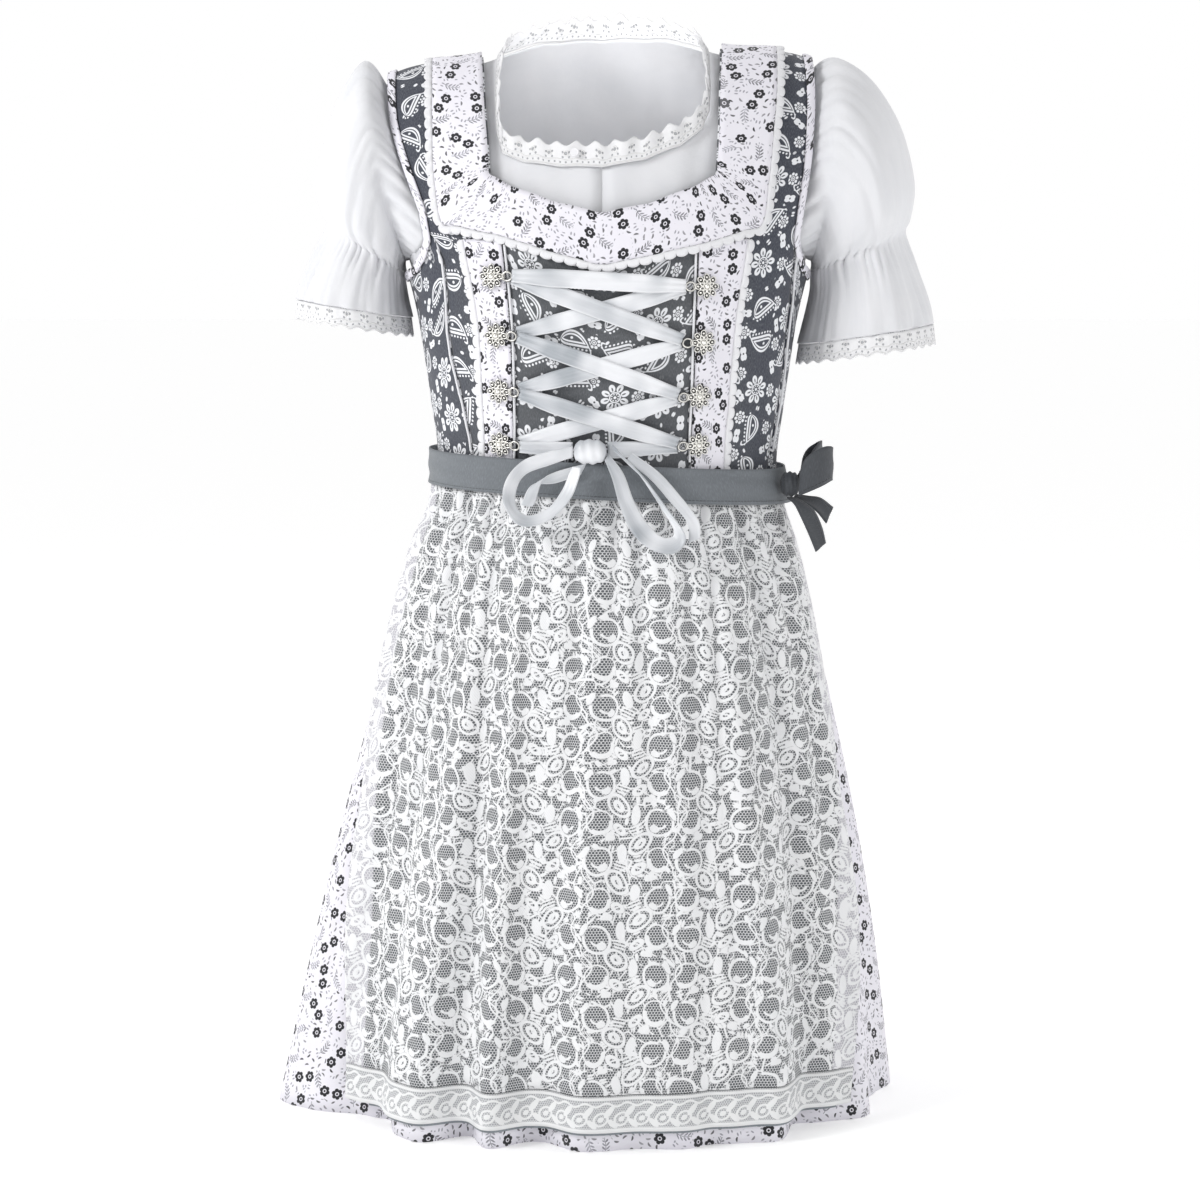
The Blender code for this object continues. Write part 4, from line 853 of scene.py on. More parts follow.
def lace_motifs(u, v):
    """The lace's figure as a white mask, and where its scrolls and leaves keep clear ground."""
    wide, tall = MOTIF_PITCH
    column = (u / wide).math("FLOOR")
    odd = column.math("FLOORED_MODULO", 2.0)
    mirror = odd * -2.0 + 1.0
    x = (u - (column + 0.5) * wide) * mirror
    y = wrapped(v + odd * (tall / 2.0), tall)
    turn = (y - 12.0).math("ARCTAN2", x + 4.5)
    scroll = size(x + 4.5, y - 12.0)
    open_turn = abs(wrapped(turn + 0.75, 2.0 * math.pi))
    scroll_arc = band(scroll, 8.6, 0.95) * below(open_turn, 2.75, 0.3)
    curl = below(oval(x + 1.5, y - 7.8, 3.4, 2.3, 25.0), 1.0, 0.12)
    curl = either(curl, band(scroll, 3.9, 0.75) * below(y - 11.0, 0.0, 0.5))
    eye = oval(x - 7.2, y + 1.5, 9.6, 6.2, -42.0)
    eye_ring = band(eye, 0.87, 0.14, 0.05)
    eye_heart = band(eye, 0.34, 0.17, 0.05)
    low = size(x + 5.0, y + 12.0)
    crescent = band(low + (y + 12.0) * 0.12, 6.4, 1.5) * below(y + 11.5 - x * 0.5, 0.0, 0.6)
    rim = band(low, 7.4, 0.55)
    slit_leaf = oval(x - 8.0, y + 17.5, 6.0, 3.2, -38.0)
    leaf = below(slit_leaf, 1.0, 0.1) - below(slit_leaf, 0.36, 0.1)
    bud = below(oval(x - 11.2, y - 17.5, 3.3, 6.4, 8.0), 1.0, 0.12)
    bar_lines = below(abs(wrapped(y * 0.94 + x * 0.34, 2.3)), 0.72)
    bars = below(size(x - 10.5, y - 8.6), 4.6) * bar_lines
    petal_turn = (y + 23.5).math("ARCTAN2", x - 1.0)
    trefoil = size(x - 1.0, y + 23.5) - abs((petal_turn * 1.5).math("COSINE")) * 1.8
    wreath = size(x + 11.5, y + 1.0)
    wreath_ring = band(wreath, 3.4, 0.8) * below(abs(wrapped(x * 1.3 + y, 1.9)), 0.7)
    stem_aside = abs(x + 11.8 + (y * 0.246).math("SINE") * 3.4)
    stem = below(stem_aside, 0.7) * below(abs(y + 6.0), 15.0)
    branch = below(abs(y + 22.0 - x * 0.35 - (x * 0.21).math("SINE") * 2.0), 0.65)
    twig = band(size(x - 13.0, y - 1.5), 6.0, 0.6) * below(y - x * 0.6, 0.0, 0.6)
    shoot = below(oval(x + 12.6, y - 18.5, 4.6, 1.9, 62.0), 1.0, 0.12)
    figure_white = either(scroll_arc, curl, eye_ring, eye_heart, crescent, rim, leaf, bud, bars,
                          below(trefoil, 2.4), wreath_ring, stem, branch, twig, shoot)
    inside = either(below(scroll, 8.6), below(eye, 1.0, 0.1), below(low, 7.4),
                    below(slit_leaf, 1.0, 0.1))
    return figure_white, inside


lace = Finish("apron_lace", roughness=0.75, sheen=0.1)
edge_u = lace.coordinates("Edges")[0]
bent_u = lace.u + (lace.noise(24.0, 1.0, seed=21.0) - 0.5) * 5.0
bent_v = lace.v + (lace.noise(24.0, 1.0, seed=22.0) - 0.5) * 5.0
solid, inside = lace_motifs(bent_u + 4.0, bent_v + 11.0)
veins = lace.tree.nodes.new("ShaderNodeTexVoronoi")
veins.feature = "DISTANCE_TO_EDGE"
veins.inputs["Scale"].default_value = 1.0
join = lace.tree.nodes.new("ShaderNodeCombineXYZ")
lace.tree.links.new((bent_u / 8.5).socket, join.inputs[0])
lace.tree.links.new((bent_v / 10.0).socket, join.inputs[1])
lace.tree.links.new(join.outputs[0], veins.inputs["Vector"])
veins = below(Field(lace.tree, veins.outputs["Distance"]), 0.055, 0.03)
veins = veins * below(lace.noise(7.0, 1.0, seed=31.0), 0.56, 0.04)
x, y, one, two, three = spread(bent_u, bent_v, 9.5, 8.0, 3.0, 47.0)
tx, ty = turned(x, y, three * 6.2832)
small = below(size(tx / 2.7, (abs(ty) - two * 1.4) / 0.95), 1.0, 0.25) * below(one, 0.6, 0.01)
threads = net(lace.u, lace.v, NET_PITCH)
fine = either(veins, small) * (1.0 - inside)
white = either(solid, fine, threads * 0.86)
stitches = (lace.u * 4.2 + lace.v * 3.1).math("SINE") * 0.12
tone = lace.noise(40.0, 2.0, seed=8.0)
cord_white = lace.mix(tone, (0.78, 0.79, 0.81), (0.90, 0.90, 0.91))
# Painted shade: the net's cells take a dark slate where the underlay lies behind them, and a paler
# grey within 24 mm of the side edges.
painted_shade_behind_net = lace.mix(below(edge_u, 24.0, 2.0), (0.095, 0.103, 0.113), (0.50, 0.49, 0.54))
colour = lace.mix(white, painted_shade_behind_net, cord_white)
apron_lace = lace.finish(colour, white * 1.4 + stitches * solid, 0.22)

LOOP_PITCH = 14.0
HEM_NET_PITCH = 1.6
lace_edge = Finish("apron_lace_hem", roughness=0.75, sheen=0.1)
v_up = lace_edge.v
loop_x = wrapped(lace_edge.u, LOOP_PITCH)
loops = band(oval(loop_x, v_up - 9.0, 5.6, 4.6, 30.0), 0.86, 0.16, 0.06)
hearts = below(oval(loop_x, v_up - 9.0, 2.3, 1.7, 30.0), 1.0, 0.1)
far_x = wrapped(lace_edge.u + LOOP_PITCH / 2.0, LOOP_PITCH)
sprays = below(oval(far_x + 1.5, v_up - 14.0, 5.0, 2.0, 50.0), 1.0, 0.1)
petals = below(oval(far_x - 1.0, v_up - 6.0, 4.2, 1.9, -40.0), 1.0, 0.1)
waves = below(abs(v_up - 18.6 - (lace_edge.u * 0.45).math("SINE") * 1.2), 0.8)
lines = either(below(abs(v_up - 22.6), 1.0), below(abs(v_up - 1.4), 1.5))
solid = either(loops, hearts, sprays, petals, waves, lines)
white = either(solid, net(lace_edge.u, v_up, HEM_NET_PITCH) * 0.86)
colour = lace_edge.mix(lace_edge.noise(20.0, 2.0), (0.76, 0.77, 0.78), (0.87, 0.87, 0.87))
colour = lace_edge.mix(white, (0.38, 0.39, 0.41), colour)
hem_lace = lace_edge.finish(colour, white, 0.2)

# %% [markdown]
# The apron's own cloth is a fine slate cotton. The waistband and the bow are topstitched, so
# their finish reads the distance from the cut edge and lays a dashed thread along it.

# %% Slate cloth
def slate(name, dark, light, stitch_in, sheen):
    made = Finish(name, roughness=0.7, sheen=sheen)
    edge_v = made.coordinates("Edges")[1]
    flecks = made.noise(0.8, 2.0, (1.0, 0.3), seed=12.0)
    colour = made.mix(made.noise(35.0, 2.0, seed=3.0), dark, light)
    colour = made.mix(flecks.math("POWER", 3.0) * 0.7, colour, tuple(2.2 * c for c in light))
    height = made.weave(0.45)
    if stitch_in:
        line = band(edge_v, stitch_in, 0.28, 0.2) * below(abs(wrapped(made.u, 2.6)), 0.95, 0.2)
        colour = made.mix(line * 0.6, colour, tuple(0.45 * c for c in dark))
        height = height - line * 2.0
    return made.finish(colour, height, 0.12)


apron_cloth = slate("slate_underlay", (0.17, 0.195, 0.215), (0.225, 0.25, 0.27), 0.0, 0.1)
band_cloth = slate("slate_band", (0.115, 0.127, 0.142), (0.16, 0.175, 0.19), 2.2, 0.15)
bow_cloth = slate("slate_bow", (0.034, 0.038, 0.045), (0.062, 0.067, 0.076), 2.4, 0.15)

# %% [markdown]
# Satin is smooth and slightly sheened. Its colour carries painted light and shade in soft patches,
# and painted sheen in streaks along the ribbon; its selvedges are a firmer, paler cord. The hooks
# are antique silver, bright on what is rubbed and dark in what is not.

# %% Satin and antique silver
satin = Finish("satin_ribbon", roughness=0.34, sheen=0.3)
selvedge = below(satin.coordinates("Edges")[1], 0.7, 0.4)
streaks_and_painted_sheen = satin.noise(1.2, 2.0, (0.06, 1.0), seed=2.0)
# Painted light and shade: soft patches from dark grey to pale over the ribbon.
painted_light_and_shade = clamped(object_noise(satin.tree, 34.0, 1.0) * 3.4 - 1.2)
colour = satin.mix(painted_light_and_shade, (0.30, 0.33, 0.365), (0.80, 0.81, 0.84))
# Painted sheen: paler streaks along the ribbon; the same streaks also make the bump.
colour = satin.mix(streaks_and_painted_sheen * 0.3, colour, (0.84, 0.85, 0.87))
colour = satin.mix(selvedge * 0.5, colour, (0.85, 0.86, 0.88))
satin_ribbon = satin.finish(colour, streaks_and_painted_sheen + selvedge * 0.6, 0.10)

silver = Finish("antique_silver", roughness=0.3, metallic=0.8)
rise = object_part(silver.tree, "Object", 2) * TO_MM
worn = clamped(rise * 1.5 - 1.95)
grain = object_noise(silver.tree, 900.0)
share = clamped(worn + (grain - 0.5) * 0.7)
colour = silver.mix(share, (0.035, 0.033, 0.03), (0.97, 0.955, 0.91))
hook_silver = silver.finish(colour, grain, 0.05)

# %% [markdown]
# The bodice is cut as nine panels. Each has its own outline from the CAD, filled finely, and
# turns down a little at its edges, so that the seams read as grooves.

# %% Bodice outlines
BODICE_OUT = 1.6
BODICE_WALL = 1.4
WAIST_Z = -286.0
SEAM_GAP = 0.3
# Edges seen from the front as (x, z).
NECKLINE = (
    (-81.7, -0.3),
    (-78.2, -31.6),
    (-75.5, -59.7),
    (-73.4, -85.0),
    (-58.1, -93.9),
    (-31.3, -103.4),
    (-0.5, -110.5),
    (31.5, -104.4),
    (59.5, -93.9),
    (74.6, -85.0),
    (76.7, -59.8),
    (78.0, -31.9),
    (81.0, -0.3),
)
PLACKET_INNER_LEFT = (
    (-59.0, -287.0),
    (-58.8, -227.5),
    (-60.0, -187.3),
    (-62.6, -157.3),
    (-66.0, -127.3),
)
PLACKET_INNER_RIGHT = (
    (59.0, -287.0),
    (60.1, -227.5),
    (61.3, -187.3),
    (62.6, -157.3),
    (63.3, -127.3),
)
PRINCESS_LEFT = (
    (-84.5, -287.0),
    (-86.0, -268.8),
    (-91.5, -235.0),
    (-99.0, -205.0),
    (-101.3, -187.8),
    (-102.5, -160.0),
    (-104.6, -140.5),
    (-110.5, -126.5),
)
PRINCESS_RIGHT = (
    (111.0, -287.0),
    (113.9, -270.7),
    (121.0, -215.8),
    (126.0, -167.7),
    (127.6, -145.0),
    (129.0, -131.0),
)
# level, x of the left armhole edge, x of the right armhole edge
ARMHOLE = (
    (264.0, -146.0, 143.0),
    (217.0, -145.0, 142.5),
    (147.0, -140.7, 141.5),
    (124.0, -136.7, 140.0),
    (94.0, -129.3, 137.5),
    (64.0, -119.9, 133.0),
    (44.0, -116.4, 130.0),
)
ARMHOLE_LOW = 21.0
MEETING_LEVEL = 52.0


def armhole_places(side, grow, low):
    """Ridge to underarm in front: (angle, level) places; grow moves outwards."""
    column = 1 if side < 0 else 2
    places = []
    for row in ARMHOLE:
        x = row[column] + side * grow
        places.append((angle_of(x, row[0]), row[0]))
    start_angle, start_level = places[-1]
    side_angle = 90.0 * side
    for share, drop in ((0.12, 0.42), (0.35, 0.80), (0.66, 0.96), (1.0, 1.0)):
        angle = start_angle + (side_angle - start_angle) * share
        places.append((angle, start_level + (low - start_level) * drop))
    return places


def mirrored_behind(places, side):
    return [(180.0 * side - angle, level) for angle, level in places]


def armhole_split(side, meeting_level):
    """The front armhole edge above a level, and the edge below it."""
    places = armhole_places(side, 0.0, ARMHOLE_LOW)
    upper = [place for place in places if place[1] > meeting_level]
    lower = [place for place in places if place[1] <= meeting_level]
    before = upper[-1]
    after = lower[0]
    share = (before[1] - meeting_level) / (before[1] - after[1])
    meeting = blend(before, after, share)
    return upper + [meeting], [meeting] + lower


print("armhole places in front:", len(armhole_places(1, 0.0, ARMHOLE_LOW)))

# %% Bodice panels
EDGE_SINK = 0.8
FRONT_ROWS = 44
SEAM_ROWS = 34
PANEL_COLUMNS = 36
STRAP_COLUMNS = 20


def turned_down(lines, sink):
    """Sinks the outermost points of a panel into the seam."""
    last = len(lines) - 1
    for row, line in enumerate(lines):
        for column in (0, len(line) - 1):
            near = 1 if column == 0 else column - 1
            upward = lines[min(row + 1, last)][column] - lines[max(row - 1, 0)][column]
            across = line[near] - line[column]
            if column:
                across = -across
            normal = across.cross(upward).normalized()
            line[column] = line[column] - normal * sink
    return lines


def bodice_panel(name, places):
    lines = turned_down(eased(places, BODICE_OUT), EDGE_SINK)
    panel = cloth(name, lines, BODICE_WALL)
    return dress(panel, bodice_print, name)


# How far a panel stays off the middle of its seam, in degrees.
SEAM = 0.16
WAIST = WAIST_Z - UNDERARM_Z
seam_left = front_edge(PLACKET_INNER_LEFT) + [front(-73.4, -85.0)]
seam_right = front_edge(PLACKET_INNER_RIGHT) + [front(74.6, -85.0)]
seam_left[0] = (seam_left[0][0], WAIST)
seam_right[0] = (seam_right[0][0], WAIST)
left = walk(shifted(seam_left, SEAM), FRONT_ROWS)
right = walk(shifted(seam_right, -SEAM), FRONT_ROWS)
bottom = walk([left[0], right[0]], PANEL_COLUMNS)
top = walk([left[-1]] + front_edge(NECKLINE[4:9]) + [right[-1]], PANEL_COLUMNS)
panels = {"front": bodice_panel("bodice_front", patch(bottom, top, left, right))}
cords = {}
for side, tag in ((-1, "left"), (1, "right")):
    princess = front_edge(PRINCESS_LEFT if side < 0 else PRINCESS_RIGHT)
    princess[0] = (princess[0][0], WAIST)
    upper, lower = armhole_split(side, MEETING_LEVEL)
    meeting = upper[-1]
    princess.append(meeting)
    cords[side] = princess
    upper[0] = (upper[0][0], RIDGE - SEAM_GAP)
    seam = walk(princess, SEAM_ROWS)
    hole = walk(upper, SEAM_ROWS)[::-1]
    neck = NECKLINE[:3][::-1] if side < 0 else NECKLINE[10:]
    outer = shifted(seam, -side * SEAM) + shifted(hole, -side * SEAM)[1:]
    inner = shifted(left if side < 0 else right, 2.0 * side * SEAM)
    neck_edge = front_edge(neck)
    neck_edge[-1] = (neck_edge[-1][0], RIDGE - SEAM_GAP)
    inner = inner[:-1] + walk([inner[-1]] + neck_edge, len(outer) - len(inner))
    if side < 0:
        places = ruled(outer, inner, 16)
    else:
        places = ruled(inner, outer, STRAP_COLUMNS)
    panels["side_front_" + tag] = bodice_panel("bodice_side_front_" + tag, places)

    back_meeting = mirrored_behind(lower, side)[0]
    back_princess = [(148.0 * side, WAIST), (142.0 * side, -62.0), (132.0 * side, 10.0)]
    back_princess.append(back_meeting)
    armpit = lower + mirrored_behind(lower, side)[::-1][1:]
    back_seam = walk(back_princess, SEAM_ROWS)
    front_line = shifted(seam, side * SEAM)
    back_line = shifted(back_seam, -side * SEAM)
    armpit[0] = front_line[-1]
    armpit[-1] = back_line[-1]
    top = walk(armpit, PANEL_COLUMNS)
    bottom = [(front_line[0][0], WAIST), (back_line[0][0], WAIST)]
    bottom = walk(bottom, PANEL_COLUMNS)
    if side > 0:
        places = patch(bottom, top, front_line, back_line)
    else:
        places = patch(bottom[::-1], top[::-1], back_line, front_line)
    panels["side_" + tag] = bodice_panel("bodice_side_" + tag, places)

    back_upper = mirrored_behind(upper, side)[::-1]
    back_upper[-1] = (back_upper[-1][0], RIDGE - SEAM_GAP)
    neck_angle = 180.0 * side - front(*(NECKLINE[0] if side < 0 else NECKLINE[-1]))[0]
    middle = 180.0 * side
    back_inner = [(middle, WAIST), (middle, 0.0), (middle, 118.0)]
    back_inner += [(middle - side * 8.0, 121.0), (middle - side * 17.0, 134.0)]
    back_inner += [(middle - side * 23.0, 165.0), (neck_angle, 220.0)]
    back_inner += [(neck_angle, RIDGE - SEAM_GAP)]
    outer = shifted(back_seam, side * SEAM) + shifted(walk(back_upper, 26), side * SEAM)[1:]
    inner = walk(shifted(back_inner, -side * SEAM), len(outer) - 1)
    first, last = (outer, inner) if side > 0 else (inner, outer)
    places = ruled(first, last, STRAP_COLUMNS)
    panels["back_" + tag] = bodice_panel("bodice_back_" + tag, places)

# %% [markdown]
# A printed border runs in a U round the neck, two plackets carry the hooks, and each has a
# scalloped satin-stitch edging sewn beside it. White pipings lie in the princess seams and
# along the plackets. A piping is a real cord, so it is a curve with a round section.

# %% Cords and edgings
TRIM_OUT = 3.6
TRIM_WALL = 1.0
BORDER_OUT = 5.2
PIPING_OUT = 4.4
PIPING_RADIUS = 0.7
PIPING_PLUMP = 1.2
TRIM_ROWS = 60
TRIM_COLUMNS = 10
BORDER_EDGE = (
    (-116.0, -0.3),
    (-113.0, -30.7),
    (-111.3, -59.0),
    (-109.4, -86.5),
    (-104.3, -115.0),
    (-68.1, -124.6),
    (-34.6, -135.4),
    (-0.5, -144.0),
    (32.5, -138.0),
    (66.3, -130.0),
    (104.2, -116.4),
    (108.5, -90.0),
    (112.4, -59.2),
    (116.0, -31.1),
    (119.0, -0.3),
)
PLACKET_OUTER_LEFT = (
    (-77.2, -287.0),
    (-77.8, -227.8),
    (-79.7, -187.5),
    (-84.3, -157.3),
    (-90.5, -127.2),
)
PLACKET_OUTER_RIGHT = (
    (80.0, -287.0),
    (84.0, -214.4),
    (88.5, -167.4),
    (92.0, -147.3),
    (95.0, -127.0),
)
SCALLOP_PITCH = 8.2
SCALLOP_STEPS = 12
SCALLOP_ROOT = 2.6
SCALLOP_ARCH = 3.0
# row by row across the edging: share of its reach, lift off the cloth
SCALLOP_SECTION = ((0.08, 0.0), (0.4, 0.35), (0.78, 0.3), (1.0, -0.1))


def piping(name, edge, distance):
    curve = bpy.data.curves.new(name, "CURVE")
    curve.dimensions = "3D"
    curve.bevel_depth = PIPING_RADIUS * PIPING_PLUMP * MM
    curve.bevel_resolution = 2
    curve.use_fill_caps = True
    line = curve.splines.new("POLY")
    places = walk(edge, TRIM_ROWS)
    line.points.add(len(places) - 1)
    for point, (angle, level) in zip(line.points, places):
        reach = distance + ease(angle, level)
        point.co = (*(outside(angle, level, reach) * MM), 1.0)
    cord = bpy.data.objects.new(name + "_cord", curve)
    bpy.context.scene.collection.objects.link(cord)
    return dress(cord, blouse_cotton, name)


def even_points(points, normals, count):
    """The same line and its normals at even steps."""
    return [(points[spot].lerp(points[spot + 1], share),
             normals[spot].lerp(normals[spot + 1], share).normalized())
            for spot, share in even_spots(lengths_along(points, False), count)]


def scalloped(name, places, distance, flip):
    """A padded edging beside a line of places, in half-round scallops."""
    points = []
    normals = []
    for angle, level in places:
        reach = distance + ease(angle, level)
        points.append(outside(angle, level, reach))
        normals.append(outside(angle, level, reach + 1.0) - points[-1])
    total = lengths_along(points, False)[-1]
    scallops = round(total / SCALLOP_PITCH)
    line = even_points(points, normals, scallops * SCALLOP_STEPS)
    rows = [[] for _ in SCALLOP_SECTION]
    for step, (here, normal) in enumerate(line):
        before = line[max(step - 1, 0)][0]
        after = line[min(step + 1, len(line) - 1)][0]
        aside = (after - before).cross(normal).normalized() * flip
        share = (step % SCALLOP_STEPS) / SCALLOP_STEPS
        arch = math.sqrt(max(0.0, 1.0 - (2.0 * share - 1.0) ** 2))
        reach = SCALLOP_ROOT + SCALLOP_ARCH * arch
        for row, (part, lift) in zip(rows, SCALLOP_SECTION):
            row.append(here + aside * (reach * part) + normal * lift)
    if flip > 0:
        rows = rows[::-1]
    edging = cloth(name, rows, TRIM_WALL)
    return dress(edging, edging_white, name)


def border_stations():
    """Inner and outer places of the neck border, as many of each."""
    inner = front_edge(NECKLINE)
    outer = front_edge(BORDER_EDGE)
    pairs = [(inner[0], outer[0]), (inner[1], outer[1]), (inner[2], outer[2])]
    pairs.append((blend(inner[2], inner[3], 0.8), outer[3]))
    pairs.append((inner[3], outer[4]))
    pairs += [(inner[4], outer[5]), (inner[5], outer[6]), (inner[6], outer[7])]
    pairs += [(inner[7], outer[8]), (inner[8], outer[9])]
    pairs.append((inner[9], outer[10]))
    pairs.append((blend(inner[9], inner[10], 0.2), outer[11]))
    pairs += [(inner[10], outer[12]), (inner[11], outer[13]), (inner[12], outer[14])]
    steps = (5, 3, 2, 1, 3, 3, 3, 3, 3, 3, 1, 2, 3, 5)
    inner_line = []
    outer_line = []
    for (first, second), count in zip(zip(pairs, pairs[1:]), steps):
        for step in range(count):
            inner_line.append(blend(first[0], second[0], step / count))
            outer_line.append(blend(first[1], second[1], step / count))
    inner_line.append(pairs[-1][0])
    outer_line.append(pairs[-1][1])
    for line in (inner_line, outer_line):
        line[0] = (line[0][0], RIDGE - SEAM_GAP)
        line[-1] = (line[-1][0], RIDGE - SEAM_GAP)
    return inner_line, outer_line


# %% Neck border, plackets and bindings
def trim(name, places, distance):
    piece = cloth(name, eased(places, distance), TRIM_WALL, gathered=True)
    return dress(piece, floral_print, name)


inner, outer = border_stations()
stations = smooth_rows([a + b for a, b in zip(inner, outer)], 4)
inner = [tuple(row[0:2]) for row in stations]
outer = [tuple(row[2:4]) for row in stations]
places = list(zip(*ruled(outer, inner, TRIM_COLUMNS)))
neck_border = trim("neck_border", places, BORDER_OUT)
border_edging = scalloped("neck_border_edging", outer, BORDER_OUT, 1)
declare(neck_border)
for side, tag in ((-1, "left"), (1, "right")):
    inner_edge = front_edge(PLACKET_INNER_LEFT if side < 0 else PLACKET_INNER_RIGHT)
    outer_edge = front_edge(PLACKET_OUTER_LEFT if side < 0 else PLACKET_OUTER_RIGHT)
    inner_line = walk(inner_edge, TRIM_ROWS)
    outer_line = walk(outer_edge, TRIM_ROWS)
    if side < 0:
        places = ruled(outer_line, inner_line, TRIM_COLUMNS)
    else:
        places = ruled(inner_line, outer_line, TRIM_COLUMNS)
    placket = trim("placket_" + tag, places, TRIM_OUT)
    edging = scalloped("placket_edging_" + tag, outer_line, TRIM_OUT, side)
    cord = shifted(inner_edge, -side * 0.9)
    cord[0] = (cord[0][0], -107.0)
    cord[-1] = blend(cord[-2], cord[-1], 0.86 if side < 0 else 0.66)
    piped = piping("placket_piping_" + tag, cord, PIPING_OUT)
    declare(placket)
    princess = cords[side]
    cord = princess[:-2] + [blend(princess[-3], princess[-2], 0.5)]
    cord[0] = (cord[0][0], -101.0)
    piping("princess_piping_" + tag, cord, PIPING_OUT)

# %% Armhole bindings
BINDING_STEPS = 72
BINDING_ROWS = 4
BINDING_WIDTH = 5.5
BINDING_PUFF = 0.5


def inset_place(place, aside, width):
    """A point of the trim layer beside a place, in a direction along the cloth."""
    angle, level = place
    here = outside(angle, level, TRIM_OUT)
    across = outside(angle + 1.0, level, TRIM_OUT) - here
    upward = outside(angle, level + 1.0, TRIM_OUT) - here
    wanted = aside * width
    a = across.dot(across)
    b = across.dot(upward)
    c = upward.dot(upward)
    p = wanted.dot(across)
    q = wanted.dot(upward)
    scale = a * c - b * b
    angle_step = (p * c - q * b) / scale
    level_step = (q * a - p * b) / scale
    return outside(angle + angle_step, level + level_step, TRIM_OUT)


for side, tag in ((-1, "left"), (1, "right")):
    around = walk(armhole_places(side, 0.0, ARMHOLE_LOW), BINDING_STEPS)
    loop = around + mirrored_behind(around, side)[::-1][1:-1]
    rows = [[] for _ in range(BINDING_ROWS + 1)]
    for index, place in enumerate(loop):
        before = outside(*loop[index - 2], TRIM_OUT)
        after = outside(*loop[(index + 2) % len(loop)], TRIM_OUT)
        here = outside(*place, TRIM_OUT)
        normal = outside(*place, TRIM_OUT + 1.0) - here
        aside = (after - before).cross(normal).normalized()
        body = inset_place(place, aside * side, BINDING_WIDTH)
        for row, line in enumerate(rows):
            share = row / BINDING_ROWS
            puff = BINDING_PUFF * math.sin(math.pi * share)
            line.append(here.lerp(body, share) + normal * puff)
    if side > 0:
        rows = rows[::-1]
    binding = cloth("armhole_binding_" + tag, rows, TRIM_WALL, closed=True)
    dress(binding, floral_print, "armhole_binding_" + tag)

for side, tag in ((-1, "left"), (1, "right")):
    declare(panels["side_front_" + tag])
    declare(panels["side_" + tag])
    declare(panels["back_" + tag])
declare(panels["front"])

# %% [markdown]
# The blouse is soft cotton that hangs from the shoulders. Long shallow folds drop from the neck
# frill, and a seam runs down the middle. They are laid as ripples of the sheet itself, because
# they catch the light and throw small shadows that a flat sheet with a bump would not.

# %% Blouse outlines
# The blouse lies inside the bodice, so its distance from the figure is minus.
BLOUSE_OUT = -2.8
BLOUSE_WALL = 1.0
BLOUSE_NECK = (
    (-70.0, 0.0),
    (-71.0, -30.0),
    (-70.0, -54.0),
    (-66.0, -69.0),
    (-52.0, -75.0),
    (-28.0, -78.0),
    (0.0, -78.5),
    (28.0, -73.5),
    (52.0, -64.0),
    (66.0, -53.0),
    (71.0, -41.0),
    (72.0, -26.0),
    (71.0, 0.0),
)
BLOUSE_BACK_LEVEL = 192.0
BLOUSE_HEM_LEVEL = -62.0
LACE_HEIGHT = 15.0
# The blouse's armhole is a little wider and higher than the bodice's.
BLOUSE_HOLE_GROW = 1.2
BLOUSE_HOLE_LOW = ARMHOLE_LOW + 9.0


def blouse_neck_half(side):
    """The blouse's front neckline from the ridge to the middle."""
    table = BLOUSE_NECK[:7] if side < 0 else BLOUSE_NECK[6:][::-1]
    places = front_edge(table)
    x = table[0][0]
    places[0] = (angle_of(x, RIDGE), RIDGE - SEAM_GAP)
    return places


def blouse_back_neck():
    """The back neckline on the back of the figure, viewer's right to left."""
    right = 180.0 - angle_of(71.0, RIDGE)
    left = 180.0 - angle_of(-70.0, RIDGE)
    places = [(right, RIDGE - SEAM_GAP), (right + 4.0, 246.0), (167.0, 230.0), (173.0, 208.0)]
    places += [(180.0, BLOUSE_BACK_LEVEL), (187.0, 208.0), (193.0, 230.0)]
    places += [(left - 4.0, 246.0), (left, RIDGE - SEAM_GAP)]
    return places


def blouse_ripple(angle, level):
    """Long folds that drop from the neck and the armholes, in millimetres."""
    across = half_turn(angle)
    hang = max(0.0, min(1.0, (230.0 - level) / 120.0))
    move = 0.5 * math.sin(across * 0.42 + 1.3 * math.sin(level * 0.013) + 0.6) * hang
    move += 0.35 * math.sin(across * 0.95 - level * 0.012) * hang
    move += 0.5 * noise.noise(Vector((across * 0.08, level * 0.016, 8.0)))
    seam = math.exp(-(across / 1.1) ** 2)
    return move * (1.0 - seam) + 0.35 * seam


def blouse_points(places):
    return [[outside(angle, level, BLOUSE_OUT + blouse_ripple(angle, level))
             for angle, level in line] for line in places]


# %% Blouse panels
outer_edges = {}
blouse = {}
for side, tag in ((-1, "left"), (1, "right")):
    neck = blouse_neck_half(side)
    hole = walk(armhole_places(side, BLOUSE_HOLE_GROW, BLOUSE_HOLE_LOW), 50)
    hole[0] = (hole[0][0], RIDGE - SEAM_GAP)
    outer = walk([(90.0 * side, BLOUSE_HEM_LEVEL), (90.0 * side, 0.0)], 24)[:-1]
    outer += [(90.0 * side, 0.0)] + hole[::-1]
    outer_edges[side] = mirrored_behind(outer, side)
    outer = shifted(outer, -side * SEAM)
    middle = walk([(side * 0.01, BLOUSE_HEM_LEVEL), (side * 0.01, neck[-1][1])]
                  + neck[::-1][1:], len(outer) - 1)
    places = ruled(outer, middle, 36) if side < 0 else ruled(middle, outer, 36)
    panel = cloth("blouse_front_" + tag, blouse_points(places), BLOUSE_WALL)
    blouse[side] = dress(panel, blouse_cotton, "blouse_front_" + tag)

